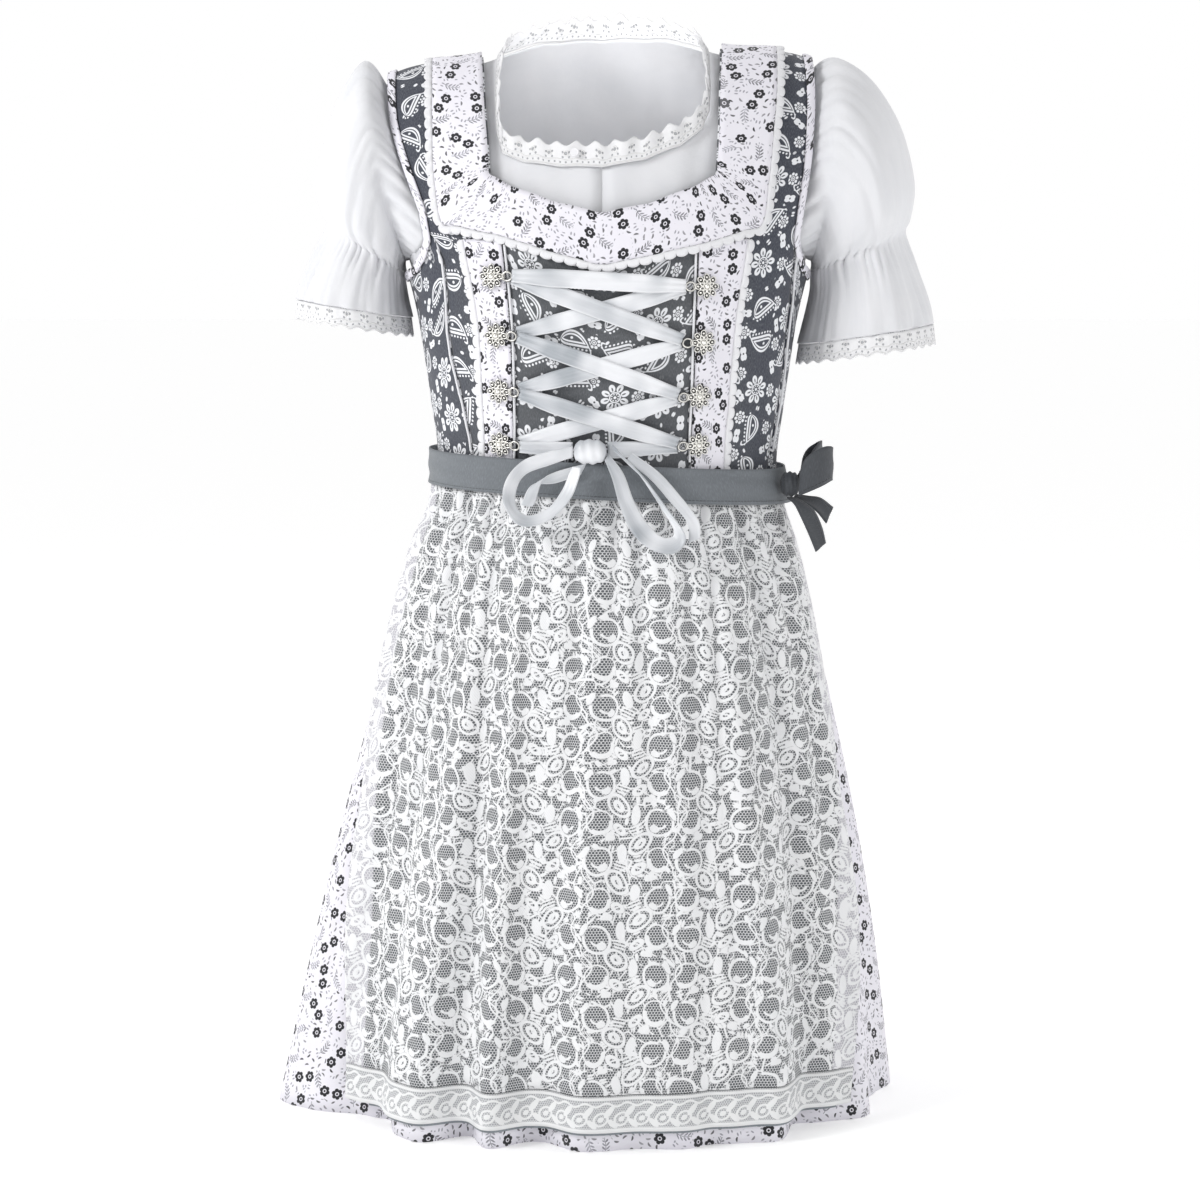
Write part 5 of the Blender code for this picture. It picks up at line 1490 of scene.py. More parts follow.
right_edge = shifted(outer_edges[1], SEAM)
left_edge = [(360.0 + angle - SEAM, level) for angle, level in outer_edges[-1]]
top = walk([right_edge[-1]] + blouse_back_neck() + [left_edge[-1]], 60)
bottom = walk([right_edge[0], left_edge[0]], 60)
places = even_panel(bottom, top, right_edge, left_edge)
panel = cloth("blouse_back", blouse_points(places), BLOUSE_WALL)
blouse[0] = dress(panel, blouse_cotton, "blouse_back")

# %% [markdown]
# The neck frill is a strip of eyelet embroidery, gathered a little and scalloped along its free
# edge. It leans outward in front and stands up behind the neck.

# %% Neck frill
FRILL_ROWS = 12
FRILL_FRONT_STEPS = 260
FRILL_BACK_STEPS = 150
FRILL_WALL = 0.8
loop = blouse_neck_half(-1)[:-1] + blouse_neck_half(1)[::-1]
around = walk(loop, FRILL_FRONT_STEPS)[:-1] + walk(blouse_back_neck(), FRILL_BACK_STEPS)[:-1]
stations = []
travelled = 0.0
last_point = None
for angle, level in around:
    here = outside(angle, level, BLOUSE_OUT + BLOUSE_WALL + 2.0)
    travelled += (here - last_point).length if last_point else 0.0
    last_point = here
    share = level / RIDGE
    upward = (figure(angle, level + 1.0) - figure(angle, level)).normalized()
    inward = Vector((-math.copysign(1.0, here.x) * min(1.0, abs(here.x) / 40.0), 0.0, 0.0))
    lean = upward * (1.0 - share * share) + inward * (0.75 * share * share)
    lean = (lean + Vector((0.0, 0.0, 0.5 + 0.4 * share))).normalized()
    normal = outside(angle, level, 1.0) - figure(angle, level)
    stations.append((here, lean, normal, travelled))
scallops = round(travelled / EYELET_PITCH)
rows = []
for row in range(FRILL_ROWS + 1):
    share = row / FRILL_ROWS
    line = []
    for here, lean, normal, at in stations:
        phase = at / travelled * scallops
        tip = 1.0 - 0.22 * abs(math.cos(math.pi * phase)) ** 1.6
        reach = -1.5 + share * (LACE_HEIGHT * 1.04 * tip + 1.5)
        sway = (1.3 * math.sin(math.pi * phase * 1.37) + 0.6 * math.sin(phase * 5.1)) * share
        line.append(here + lean * reach + normal * sway)
    rows.append(line)
neck_frill = cloth("blouse_neck_lace", rows, FRILL_WALL, closed=True, gathered=True)
dress(neck_frill, eyelet_lace, "blouse_neck_lace")
declare(neck_frill)
print("scallops round the neck:", scallops)

# %% Button
BUTTON = (-18.0, -71.0)
BUTTON_OUT = 3.4


def lay_on_figure(thing, x, z, distance, side):
    """Puts a flat thing on the figure's front, its local X along side."""
    angle, level = front(x, z)
    here = outside(angle, level, distance)
    normal = outside(angle, level, distance + 1.0) - here
    right = Vector((side, 0.0, 0.0))
    right = (right - normal * right.dot(normal)).normalized()
    upward = normal.cross(right)
    pose = Matrix((right, upward, normal)).transposed().to_4x4()
    thing.location = here * MM
    thing.rotation_euler = pose.to_euler()


shape = bmesh.new()
bmesh.ops.create_cone(shape, cap_ends=True, segments=32, radius1=0.0030, radius2=0.0028,
                      depth=0.0013)
top_face = max(shape.faces, key=lambda face: face.calc_center_median().z)
bmesh.ops.inset_region(shape, faces=[top_face], thickness=0.0007, depth=-0.0003)
mesh = bpy.data.meshes.new("blouse_button_shape")
bmesh.ops.translate(shape, verts=shape.verts, vec=(0.0, 0.0, 0.0007))
shape.to_mesh(mesh)
shape.free()
button = bpy.data.objects.new("blouse_button_piece", mesh)
bpy.context.scene.collection.objects.link(button)
lay_on_figure(button, BUTTON[0], BUTTON[1], BUTTON_OUT, 1.0)
edge = button.modifiers.new("rounded", "BEVEL")
edge.width = 0.0003
dress(button, edging_white, "blouse_button")
declare(blouse[-1])
declare(blouse[1])
declare(blouse[0])

# %% [markdown]
# A puff sleeve is a wide tube gathered into the armhole above and by a line of elastic below,
# which leaves a flounce. The rings come from the CAD, and the gathers are fine pleats that are
# deep where the cloth is held and fade where it is free.

# %% Sleeves
# The sleeves, a ring in each row: outer end x, z, underarm end x, z, half depth.
SLEEVE_LEFT = (
    (-163.0, -8.0, -136.5, -139.0, 56.0),
    (-179.0, -30.0, -137.0, -141.0, 60.0),
    (-189.0, -60.0, -137.5, -143.0, 60.0),
    (-195.0, -90.0, -138.0, -145.0, 56.0),
    (-191.0, -109.0, -138.0, -147.0, 48.0),
    (-187.0, -118.0, -138.5, -149.5, 43.0),
    (-197.0, -137.0, -137.5, -160.0, 46.0),
    (-206.0, -156.0, -135.5, -172.0, 49.0),
    (-209.5, -167.5, -134.0, -179.5, 51.0),
)
CUFF_LEFT = (
    (-209.7, -168.0, -133.9, -180.0, 51.1),
    (-211.0, -181.5, -132.0, -193.5, 52.0),
)
SLEEVE_RIGHT = (
    (162.0, -6.0, 145.5, -139.0, 58.0),
    (184.0, -20.0, 146.0, -141.0, 62.0),
    (203.0, -50.0, 146.5, -143.0, 64.0),
    (213.0, -88.0, 147.0, -145.0, 60.0),
    (211.0, -112.0, 147.0, -147.0, 51.0),
    (207.0, -124.0, 147.0, -149.5, 46.0),
    (215.0, -146.0, 146.0, -164.0, 50.0),
    (224.0, -170.0, 141.5, -185.0, 54.0),
    (227.5, -184.5, 138.5, -198.0, 56.0),
)
CUFF_RIGHT = (
    (227.7, -185.0, 138.4, -198.5, 56.1),
    (230.0, -199.0, 136.0, -212.5, 57.0),
)
SLEEVE_WALL = 1.0
SLEEVE_WAVES = 5
SLEEVE_START = 4.6
SLEEVE_LOW = ARMHOLE_LOW + 11.0
# How high the broad waves are on each ring, and on the cuff's frill.
SLEEVE_WAVE_HIGH = (1.5, 2.0, 2.0, 1.6, 1.2, 0.8, 1.6, 2.0, 2.2)
CUFF_WAVE_HIGH = 2.2
CUFF_PLEAT = 0.35
CUFF_ROWS = 8
SLEEVE_FINE = 200
SLEEVE_BETWEEN = 6
ELASTIC_RING = 6


def sleeve_ring(row, wave_size):
    outer_x, outer_z, inner_x, inner_z, half_depth = row
    outer = Vector((outer_x, 0.0, outer_z))
    inner = Vector((inner_x, 0.0, inner_z))
    middle = (outer + inner) / 2.0
    points = []
    for step in range(SLEEVE_FINE):
        turn = math.radians(360.0 * step / SLEEVE_FINE)
        free = 0.5 + 0.5 * math.cos(turn)
        push = 1.0 + wave_size * free * math.cos(SLEEVE_WAVES * turn) / half_depth
        point = middle + (outer - middle) * math.cos(turn) * push
        point.y = -half_depth * math.sin(turn) * push
        points.append(point)
    return points


def between_rings(rings, steps):
    """More rings between the rings, on smooth curves."""
    found = []
    for index in range(len(rings) - 1):
        before = rings[max(index - 1, 0)]
        here = rings[index]
        there = rings[index + 1]
        after = rings[min(index + 2, len(rings) - 1)]
        for step in range(steps):
            t = step / steps
            weights = (0.5 * (-t + 2 * t * t - t ** 3), 0.5 * (2 - 5 * t * t + 3 * t ** 3),
                       0.5 * (t + 4 * t * t - 3 * t ** 3), 0.5 * (t ** 3 - t * t))
            found.append([a * weights[0] + b * weights[1] + c * weights[2] + d * weights[3]
                          for a, b, c, d in zip(before, here, there, after)])
    found.append(rings[-1])
    return found


def gathered_rings(rings, held):
    """Pleats pushed out of each ring; held says how deep they are at a ring."""
    made = []
    for index, ring in enumerate(rings):
        middle = sum(ring, Vector()) / len(ring)
        deep = held(index / SLEEVE_BETWEEN)
        line = []
        for step, point in enumerate(ring):
            turn = 2.0 * math.pi * step / len(ring)
            way = (point - middle).normalized()
            pleat = math.sin(turn * 34.0 + 2.2 * math.sin(turn * 5.0))
            pleat += 0.6 * math.sin(turn * 21.0 + 1.7 * math.sin(turn * 3.0 + 1.0))
            spot = Vector((math.cos(turn), math.sin(turn), 0.0))
            patch = 0.75 + 1.3 * noise.noise(spot * 5.0 + Vector((0.0, 0.0, index * 0.11)))
            soft = noise.noise(spot * 2.6 + Vector((3.0, 0.0, index * 0.05)))
            soft += 0.7 * noise.noise(spot * 6.5 + Vector((0.0, 5.0, index * 0.035)))
            rise = min(1.0, index / 8.0)
            line.append(point + way * (pleat * deep * max(patch, 0.15) + soft * 2.6 * rise))
        made.append(line)
    return made


def sleeve_held(at):
    top = 1.25 * math.exp(-(at / 1.4) ** 2) * min(1.0, at / 0.4)
    elastic = 1.15 * math.exp(-((at - ELASTIC_RING) / 0.9) ** 2)
    flounce = 0.25 if at > ELASTIC_RING else 0.10
    return top + max(elastic, flounce)


for side, tag in ((-1, "left"), (1, "right")):
    front_half = walk(armhole_places(side, SLEEVE_START, SLEEVE_LOW), SLEEVE_FINE // 2)
    back_half = mirrored_behind(front_half, side)[::-1]
    start = [outside(*place, BLOUSE_OUT) for place in front_half]
    start += [outside(*place, BLOUSE_OUT) for place in back_half[1:-1]]
    table = SLEEVE_LEFT if side < 0 else SLEEVE_RIGHT
    rings = [start] + [sleeve_ring(row, high) for row, high in zip(table, SLEEVE_WAVE_HIGH)]
    rings = gathered_rings(between_rings(rings, SLEEVE_BETWEEN), sleeve_held)
    cuff_table = CUFF_LEFT if side < 0 else CUFF_RIGHT
    top_ring, low_ring = (sleeve_ring(row, CUFF_WAVE_HIGH) for row in cuff_table)
    top_ring = gathered_rings([top_ring], lambda at: CUFF_PLEAT)[0]
    cuff = []
    total = lengths_along(low_ring, True)[-1]
    scallops = round(total / EYELET_PITCH)
    for row in range(CUFF_ROWS + 1):
        share = row / CUFF_ROWS
        line = []
        for step, (high, deep) in enumerate(zip(top_ring, low_ring)):
            phase = step / SLEEVE_FINE * scallops
            tip = 1.0 - 0.16 * abs(math.cos(math.pi * phase)) ** 1.6
            line.append(high.lerp(deep, share * tip))
        cuff.append(line)
    if side > 0:
        rings = [ring[::-1] for ring in rings]
        cuff = [ring[::-1] for ring in cuff]
    sleeve = cloth("sleeve_" + tag, rings[::-1], SLEEVE_WALL, closed=True, gathered=True)
    dress(sleeve, blouse_cotton, "sleeve_" + tag)
    frill = cloth("cuff_lace_" + tag, cuff[::-1], SLEEVE_WALL, closed=True, gathered=True)
    dress(frill, eyelet_lace, "cuff_lace_" + tag)
    declare(sleeve)
    declare(frill)

# %% [markdown]
# The skirt is a long strip of the floral cotton, gathered into the waist seam. Broad folds, set
# one by one, run down to the hem; close gathers start at the waist and fade within a hand's
# width. The apron's two layers hang from the same gathers, so they nest over the skirt.

# %% Skirt and apron forms
# The skirt: height, half width, half depth in front, behind, shift of sides.
SKIRT = (
    (-275.0, 116.0, 89.0, 82.0, 4.0),
    (-288.0, 117.0, 90.0, 83.0, 4.0),
    (-309.0, 120.0, 95.0, 89.0, 4.0),
    (-334.0, 130.0, 103.0, 98.0, 3.0),
    (-375.0, 141.5, 111.0, 107.0, 3.0),
    (-430.0, 155.0, 121.0, 118.0, 2.0),
    (-492.0, 170.0, 132.0, 130.0, 1.0),
    (-560.0, 185.0, 143.0, 142.0, -1.0),
    (-637.0, 200.0, 153.0, 153.0, -4.0),
    (-727.0, 215.0, 164.0, 165.0, -8.0),
    (-760.0, 220.0, 168.0, 169.0, -9.0),
)
SKIRT_HEM_Z = -727.0
SKIRT_WALL = 1.2
# angle of a fold's crest, of the valley after it, the valley's depth at the
# hem, how far the crest reaches out there
FOLDS = (
    (-80.0, -50.0, 30.0, 8.0),
    (-32.0, -23.5, 22.0, 1.0),
    (-18.0, -11.5, 18.0, 0.0),
    (-3.0, 5.0, 7.0, 0.0),
    (12.0, 21.0, 7.0, 0.0),
    (30.0, 43.0, 24.0, 1.0),
    (64.0, 77.0, 16.0, -3.0),
    (92.0, 101.0, 18.0, 0.0),
    (111.0, 119.0, 17.0, 0.0),
    (128.0, 137.0, 18.0, 0.0),
    (145.0, 154.0, 16.0, 0.0),
    (163.0, 172.0, 18.0, 0.0),
    (180.0, 188.0, 17.0, 0.0),
    (197.0, 206.0, 18.0, 0.0),
    (214.0, 223.0, 17.0, 0.0),
    (232.0, 241.0, 18.0, 0.0),
    (250.0, 261.0, 20.0, 2.0),
)
FOLD_AT_WAIST = 0.06
# The apron lies on the skirt's folds and bridges more than half of each.
APRON_FOLD_SHARE = 0.72
APRON_WALL = 1.0
APRON_TILT = -0.06
UNDERLAY_OUT = 1.9
UNDERLAY_OUT_GROWTH = 3.0
LACE_OUT = 3.4
LACE_OUT_GROWTH = 3.9
LACE_STRIP_TOP_Z = -689.0
APRON_HEM_Z = -713.0
APRON_TOP_Z = -296.0
APRON_FINE_ROWS = 60
STRIP_FINE_ROWS = 8
LACE_FINE_COLUMNS = 320
UNDERLAY_FINE_COLUMNS = 280
# How far the underlay hangs below the lace, and how far the lace stops above its hem strip.
UNDERLAY_DROP = 2.0
STRIP_GAP = 0.5
# height, angle of the apron's left edge, angle of its right edge
APRON_EDGES = (
    (-280.0, -86.0, 88.0),
    (-400.0, -78.0, 80.0),
    (-520.0, -69.0, 69.0),
    (-640.0, -61.0, 60.0),
    (-713.0, -57.0, 55.0),
    (-740.0, -56.0, 54.0),
)
APRON_COLUMNS = 32
UNDERLAY_COLUMNS = (2, 31)


def fold_shape(angle):
    """How deep, and how far out, the skirt's folds are at an angle."""
    first = FOLDS[0][0]
    angle = first + (angle - first) % 360.0
    for index, fold in enumerate(FOLDS):
        later = FOLDS[(index + 1) % len(FOLDS)]
        following = later[0] if later[0] > fold[0] else later[0] + 360.0
        if angle < following:
            break
    if angle <= fold[1]:
        share = (angle - fold[0]) / (fold[1] - fold[0])
        reach = fold[3] * (0.5 + 0.5 * math.cos(math.pi * share))
    else:
        share = (following - angle) / (following - fold[1])
        reach = later[3] * (0.5 + 0.5 * math.cos(math.pi * share))
    return fold[2] * (0.5 - 0.5 * math.cos(math.pi * share)), reach


# angle, depth at the waist, depth at the hem, half width there and at the hem in degrees
PLEATS = (
    (-71.0, 2.6, 1.5, 2.2, 4.0), (-58.0, 3.0, 2.5, 2.4, 5.0), (-46.0, 3.4, 3.5, 2.0, 4.5),
    (-36.0, 2.8, 1.0, 1.8, 3.0), (-27.0, 2.2, 3.0, 2.0, 4.0), (-15.0, 2.6, 2.0, 2.0, 3.5),
    (-6.0, 3.4, 4.5, 2.2, 3.4), (3.0, 2.4, 0.5, 1.8, 3.0), (10.0, 3.0, 2.5, 2.0, 4.0),
    (19.0, 2.2, 3.0, 1.8, 3.4), (27.0, 3.4, 3.5, 2.2, 4.0), (35.0, 2.4, 1.0, 1.8, 3.0),
    (44.0, 3.2, 4.0, 2.2, 4.6), (56.0, 2.6, 2.0, 2.2, 4.2), (68.0, 3.0, 2.6, 2.4, 4.4),
    (84.0, 2.6, 2.0, 2.4, 4.0), (98.0, 3.0, 2.4, 2.4, 4.0), (113.0, 2.8, 2.6, 2.4, 4.2),
    (127.0, 3.0, 2.0, 2.4, 4.0), (141.0, 2.6, 2.4, 2.2, 4.0), (156.0, 3.0, 2.6, 2.4, 4.2),
    (171.0, 2.6, 2.0, 2.2, 4.0), (-174.0, 3.0, 2.4, 2.4, 4.0), (-158.0, 2.8, 2.2, 2.4, 4.0),
    (-143.0, 3.0, 2.6, 2.4, 4.2), (-129.0, 2.6, 2.0, 2.2, 4.0), (-114.0, 3.0, 2.4, 2.4, 4.0),
    (-99.0, 2.8, 2.2, 2.4, 4.2), (-85.0, 2.8, 2.0, 2.4, 4.0),
)


def gathers(angle, down):
    """Fine pleats at the waist, in millimetres, fading down the cloth."""
    turn = math.radians(angle)
    fade = math.exp(-down / 0.10)
    wave = math.sin(turn * 58.0 + 2.4 * math.sin(turn * 7.0) + 1.1 * math.sin(turn * 3.0))
    wave += 0.7 * math.sin(turn * 37.0 + 1.9 * math.sin(turn * 4.0 + 0.7))
    slow = math.sin(turn * 23.0 + 1.5 * math.sin(turn * 5.0 + 2.0))
    drift = noise.noise(Vector((math.cos(turn) * 4.0, math.sin(turn) * 4.0, down * 2.2)))
    move = 0.75 * wave * fade + 0.8 * slow * math.exp(-down / 0.35) + 1.2 * drift * down
    start = min(1.0, down / 0.03)
    for pleat, deep, low_deep, half, low_half in PLEATS:
        wander = pleat + 1.6 * math.sin(down * 5.0 + pleat)
        away = half_turn(angle - wander)
        width = half + (low_half - half) * down
        if abs(away) < 3.0 * width:
            depth = 1.5 * (deep + (low_deep - deep) * down)
            move -= start * depth * math.exp(-(away / width) ** 2)
    return move


def share_down(z):
    """0 at the waist and above, 1 at the skirt's hem and below."""
    return max(0.0, min(1.0, (WAIST_Z - z) / (WAIST_Z - SKIRT_HEM_Z)))


def by_drop(table):
    """A table of heights, with its heights as drops that grow down the table."""
    return tuple((-row[0],) + row[1:] for row in table)


SKIRT_BY_DROP = by_drop(SKIRT)
APRON_EDGES_BY_DROP = by_drop(APRON_EDGES)


def skirt_point(angle, z, distance, fold_share):
    down = share_down(z)
    strength = FOLD_AT_WAIST + (1.0 - FOLD_AT_WAIST) * down ** 0.85
    power = SECTION_POWER - 0.2 * down
    turn = math.radians(angle)
    across = signed_power(math.sin(turn), 2.0 / power)
    forward = signed_power(math.cos(turn), 2.0 / power)
    half_width = read(SKIRT_BY_DROP, 1, -z)
    half_depth = read(SKIRT_BY_DROP, 2 if forward > 0 else 3, -z)
    shift = read(SKIRT_BY_DROP, 4, -z)
    x = half_width * across + shift * across * across
    y = -half_depth * forward
    normal = Vector((signed_power(across, power - 1.0) / half_width,
                     -signed_power(forward, power - 1.0) / half_depth, 0.0)).normalized()
    depth, reach = fold_shape(angle)
    move = distance + reach * down - depth * strength * fold_share
    return Vector((x, y, z)) + normal * move


def apron_points(z, distance, growth, first, last, steps):
    """A row of the apron from one column to another, with the gathers."""
    left = read(APRON_EDGES_BY_DROP, 1, -z)
    right = read(APRON_EDGES_BY_DROP, 2, -z)
    down = share_down(z)
    away = distance + growth * math.sqrt(down)
    line = []
    for step in range(steps + 1):
        column = first + (last - first) * step / steps
        angle = left + (right - left) * column / APRON_COLUMNS
        reach = away + gathers(angle, down)
        point = skirt_point(angle, z, reach, APRON_FOLD_SHARE)
        tilted = z + APRON_TILT * point.x * (1.0 - down) ** 3
        line.append(skirt_point(angle, tilted, reach, APRON_FOLD_SHARE))
    return line


# %% Skirt
SKIRT_FINE_ROWS = 64
SKIRT_FINE_COLUMNS = 560
lines = []
for row in range(SKIRT_FINE_ROWS + 1):
    share = row / SKIRT_FINE_ROWS
    z = SKIRT_HEM_Z + (WAIST_Z - 1.0 - SKIRT_HEM_Z) * share ** 0.85
    down = share_down(z)
    line = []
    for column in range(SKIRT_FINE_COLUMNS):
        angle = 360.0 * column / SKIRT_FINE_COLUMNS
        line.append(skirt_point(angle, z, gathers(angle, down), 1.0))
    lines.append(line)
skirt = cloth("skirt", lines, SKIRT_WALL, closed=True, gathered=True)
dress(skirt, floral_print, "skirt")
declare(skirt)

# %% Apron layers
def apron_layer(name, top, bottom, rows, distance, growth, first, last, steps, finish, slot):
    lines = []
    for row in range(rows + 1):
        z = bottom + (top - bottom) * row / rows
        lines.append(apron_points(z, distance, growth, first, last, steps))
    piece = cloth(name, lines, APRON_WALL, gathered=True)
    return dress(piece, finish, name)


underlay = apron_layer("apron_underlay", APRON_TOP_Z, APRON_HEM_Z - UNDERLAY_DROP,
                       APRON_FINE_ROWS, UNDERLAY_OUT, UNDERLAY_OUT_GROWTH, *UNDERLAY_COLUMNS,
                       UNDERLAY_FINE_COLUMNS, apron_cloth, "apron_cloth")
overlay = apron_layer("apron_lace", APRON_TOP_Z, LACE_STRIP_TOP_Z + STRIP_GAP, APRON_FINE_ROWS,
                      LACE_OUT, LACE_OUT_GROWTH, 0, APRON_COLUMNS, LACE_FINE_COLUMNS,
                      apron_lace, "apron_lace")
hem_strip = apron_layer("apron_lace_hem", LACE_STRIP_TOP_Z, APRON_HEM_Z, STRIP_FINE_ROWS,
                        LACE_OUT, LACE_OUT_GROWTH, 0, APRON_COLUMNS, LACE_FINE_COLUMNS,
                        hem_lace, "apron_lace")
declare(underlay)
declare(overlay)

# %% [markdown]
# The waistband is a tube of the slate cloth, drawn tight enough to wrinkle. The knots are small
# lumps with creases wound round them; bow loops and ribbons are tapes swept through the same
# rows as the CAD, only finer and slightly dished.

# %% Waistband
BAND_OUT = 8.2
BAND_WALL = 1.4
BAND_TOP_Z = -275.5
BAND_HEIGHT = 26.5
BAND_FINE_ROWS = 12
BAND_FINE_COLUMNS = 280
lines = []
for row in range(BAND_FINE_ROWS + 1):
    drop = BAND_HEIGHT * (1.0 - row / BAND_FINE_ROWS)
    line = []
    for step in range(BAND_FINE_COLUMNS):
        angle = 360.0 * step / BAND_FINE_COLUMNS
        side = figure(angle, WAIST).x
        z = BAND_TOP_Z - drop + APRON_TILT * side
        turn = math.radians(angle)
        crease = 0.5 * math.sin(drop * 0.42 + 2.0 * math.sin(turn * 3.0) + 1.0)
        crease += 0.4 * noise.noise(Vector((turn * 9.0, drop * 0.11, 2.0)))
        puff = 0.8 * math.sin(math.pi * row / BAND_FINE_ROWS)
        line.append(outside(angle, z - UNDERARM_Z, BAND_OUT - 0.4 + crease * 0.7 + puff))
    lines.append(line)
waistband = cloth("apron_band", lines, BAND_WALL, closed=True)
dress(waistband, band_cloth, "apron_band")
declare(waistband)

# %% Knots and tapes
TAPE_COLUMNS = 8


def knot(name, middle, half_size, finish, tilt):
    """A knot of cloth: a rounded lump with creases wound round it."""
    around = 36
    rings = 18
    vertices = []
    for ring in range(rings + 1):
        height = -1.0 + 2.0 * ring / rings
        width = math.sqrt(max(0.0, 1.0 - abs(height) ** 2.6)) * 0.75 + 0.25
        for step in range(around):
            turn = 2.0 * math.pi * step / around
            wind = math.sin(5.0 * height * 2.2 + 1.2 * math.sin(turn) + tilt)
            reach = width * (1.0 + 0.06 * wind)
            vertices.append(Vector((half_size[0] * height,
                                    half_size[1] * reach * math.cos(turn),
                                    half_size[2] * reach * math.sin(turn))) * MM)
    faces = []
    corners = []
    for ring in range(rings):
        for step in range(around):
            after = (step + 1) % around
            faces.append((ring * around + step, ring * around + after,
                          (ring + 1) * around + after, (ring + 1) * around + step))
            corners += [(ring, step), (ring, step + 1), (ring + 1, step + 1), (ring + 1, step)]
    faces.append(tuple(range(around))[::-1])
    faces.append(tuple(rings * around + step for step in range(around)))
    mesh = bpy.data.meshes.new(name)
    mesh.from_pydata(vertices, [], faces)
    for title in ("Cloth", "Edges"):
        uv_map = mesh.uv_layers.new(name=title)
        for index, (ring, step) in enumerate(corners):
            wide = half_size[0] * 2.0 * ring / rings
            long = step / around * 6.3 * half_size[2]
            uv_map.data[index].uv = (long * MM, wide * MM)
    mesh.shade_smooth()
    piece = bpy.data.objects.new(name + "_cloth", mesh)
    bpy.context.scene.collection.objects.link(piece)
    piece.location = Vector(middle) * MM
    return dress(piece, finish, name)


def tape(name, table, steps, wall, finish, dish=0.5):
    """A tape through the rows of a table, slightly dished, with a soft lengthwise fold."""
    lines = [[] for _ in range(TAPE_COLUMNS + 1)]
    rows = smooth_rows(table, steps)
    for index, row in enumerate(rows):
        high = Vector(row[0:3])
        low = Vector(row[3:6])
        near = rows[min(index + 1, len(rows) - 1)]
        far = rows[max(index - 1, 0)]
        along = Vector(near[0:3]) - Vector(far[0:3])
        normal = along.cross(high - low).normalized()
        width = (high - low).length
        for line in range(TAPE_COLUMNS + 1):
            share = line / TAPE_COLUMNS
            curve = dish * (0.5 - abs(share - 0.5)) * min(1.0, width / 12.0)
            pleat = 0.35 * math.sin(share * 9.0 + index * 0.13)
            lines[line].append(low.lerp(high, share) + normal * (curve + pleat * 0.6))
    piece = cloth(name, lines, wall)
    return dress(piece, finish, name)


# The lacing ribbon: run, its ends as (x, z), its distance from the figure.
RIBBON_WIDTH = 11.6
RIBBON_END_WIDTH = 8.0
RIBBON_WALL = 0.8
RIBBON_RUNS = (
    ("ribbon_top_run", -57.5, -151.5, 53.5, -158.0, 8.4),
    ("ribbon_run_1_down", -57.2, -153.0, 51.4, -193.0, 7.0),
    ("ribbon_run_1_up", -54.5, -188.5, 53.0, -159.5, 5.6),
    ("ribbon_run_2_down", -54.2, -191.5, 49.0, -229.0, 7.0),
    ("ribbon_run_2_up", -53.1, -225.5, 51.0, -196.0, 5.6),
    ("ribbon_run_3_down", -52.9, -228.5, 48.9, -261.5, 7.0),
    ("ribbon_run_3_up", -52.8, -261.0, 48.5, -232.0, 5.6),
    ("ribbon_run_4_left", -52.9, -264.0, -19.4, -266.0, 7.0),
    ("ribbon_run_4_right", 3.7, -266.0, 48.9, -264.5, 5.6),
)
RIBBON_KNOT = (-8.0, -100.7, -267.5)
RIBBON_KNOT_SIZE = (11.0, 6.8, 8.2)
# The bow's strips: each row is one edge x, y, z and the other edge x, y, z.
RIBBON_LOOP_LEFT = (
    (-19.4, -105.6, -264.0, -19.4, -102.6, -271.0),
    (-36.0, -108.0, -267.5, -35.0, -103.5, -276.5),
    (-52.0, -110.0, -273.0, -50.0, -104.5, -282.0),
    (-63.0, -112.0, -285.0, -56.5, -106.5, -291.0),
    (-65.0, -114.5, -300.0, -57.0, -110.0, -303.0),
    (-55.0, -117.5, -314.5, -49.0, -111.5, -309.0),
    (-37.0, -118.0, -312.5, -36.0, -112.0, -304.0),
    (-22.0, -115.5, -299.0, -27.0, -109.5, -293.0),
    (-15.5, -112.0, -284.0, -22.0, -107.5, -282.0),
    (-14.5, -110.5, -277.5, -19.5, -109.0, -277.0),
)
RIBBON_LOOP_RIGHT = (
    (2.0, -104.8, -272.4, 4.0, -102.6, -268.5),
    (7.0, -110.5, -285.0, 14.0, -107.0, -281.0),
    (12.0, -115.0, -303.0, 21.0, -111.5, -299.0),
    (20.0, -118.5, -320.0, 29.0, -114.5, -313.0),
    (33.0, -121.0, -331.0, 38.0, -116.0, -322.0),
    (48.0, -121.5, -333.0, 45.0, -116.5, -323.5),
    (55.0, -120.0, -323.0, 47.0, -115.5, -318.0),
    (44.0, -116.5, -306.0, 37.0, -112.0, -301.0),
    (30.0, -112.5, -288.0, 24.5, -109.0, -282.0),
    (17.0, -109.0, -275.5, 13.0, -106.0, -270.0),
    (7.5, -104.5, -266.5, 6.5, -102.0, -263.0),
)
RIBBON_END_LEFT = (
    (-10.5, -101.5, -275.6, -14.0, -100.5, -282.6),
    (-32.0, -103.5, -281.5, -31.0, -101.5, -288.5),
    (-40.0, -106.0, -287.5, -46.5, -104.0, -290.0),
    (-44.0, -109.5, -300.0, -52.5, -108.5, -299.0),
    (-46.5, -110.3, -303.5, -53.5, -109.3, -302.5),
)
RIBBON_END_RIGHT = (
    (16.2, -106.3, -272.5, 20.2, -104.3, -268.0),
    (32.0, -106.5, -285.0, 38.0, -104.0, -281.0),
    (45.5, -110.0, -300.5, 52.5, -108.0, -297.0),
    (56.5, -113.5, -314.0, 64.0, -112.0, -312.5),
    (57.5, -116.0, -327.0, 65.0, -114.5, -324.0),
)
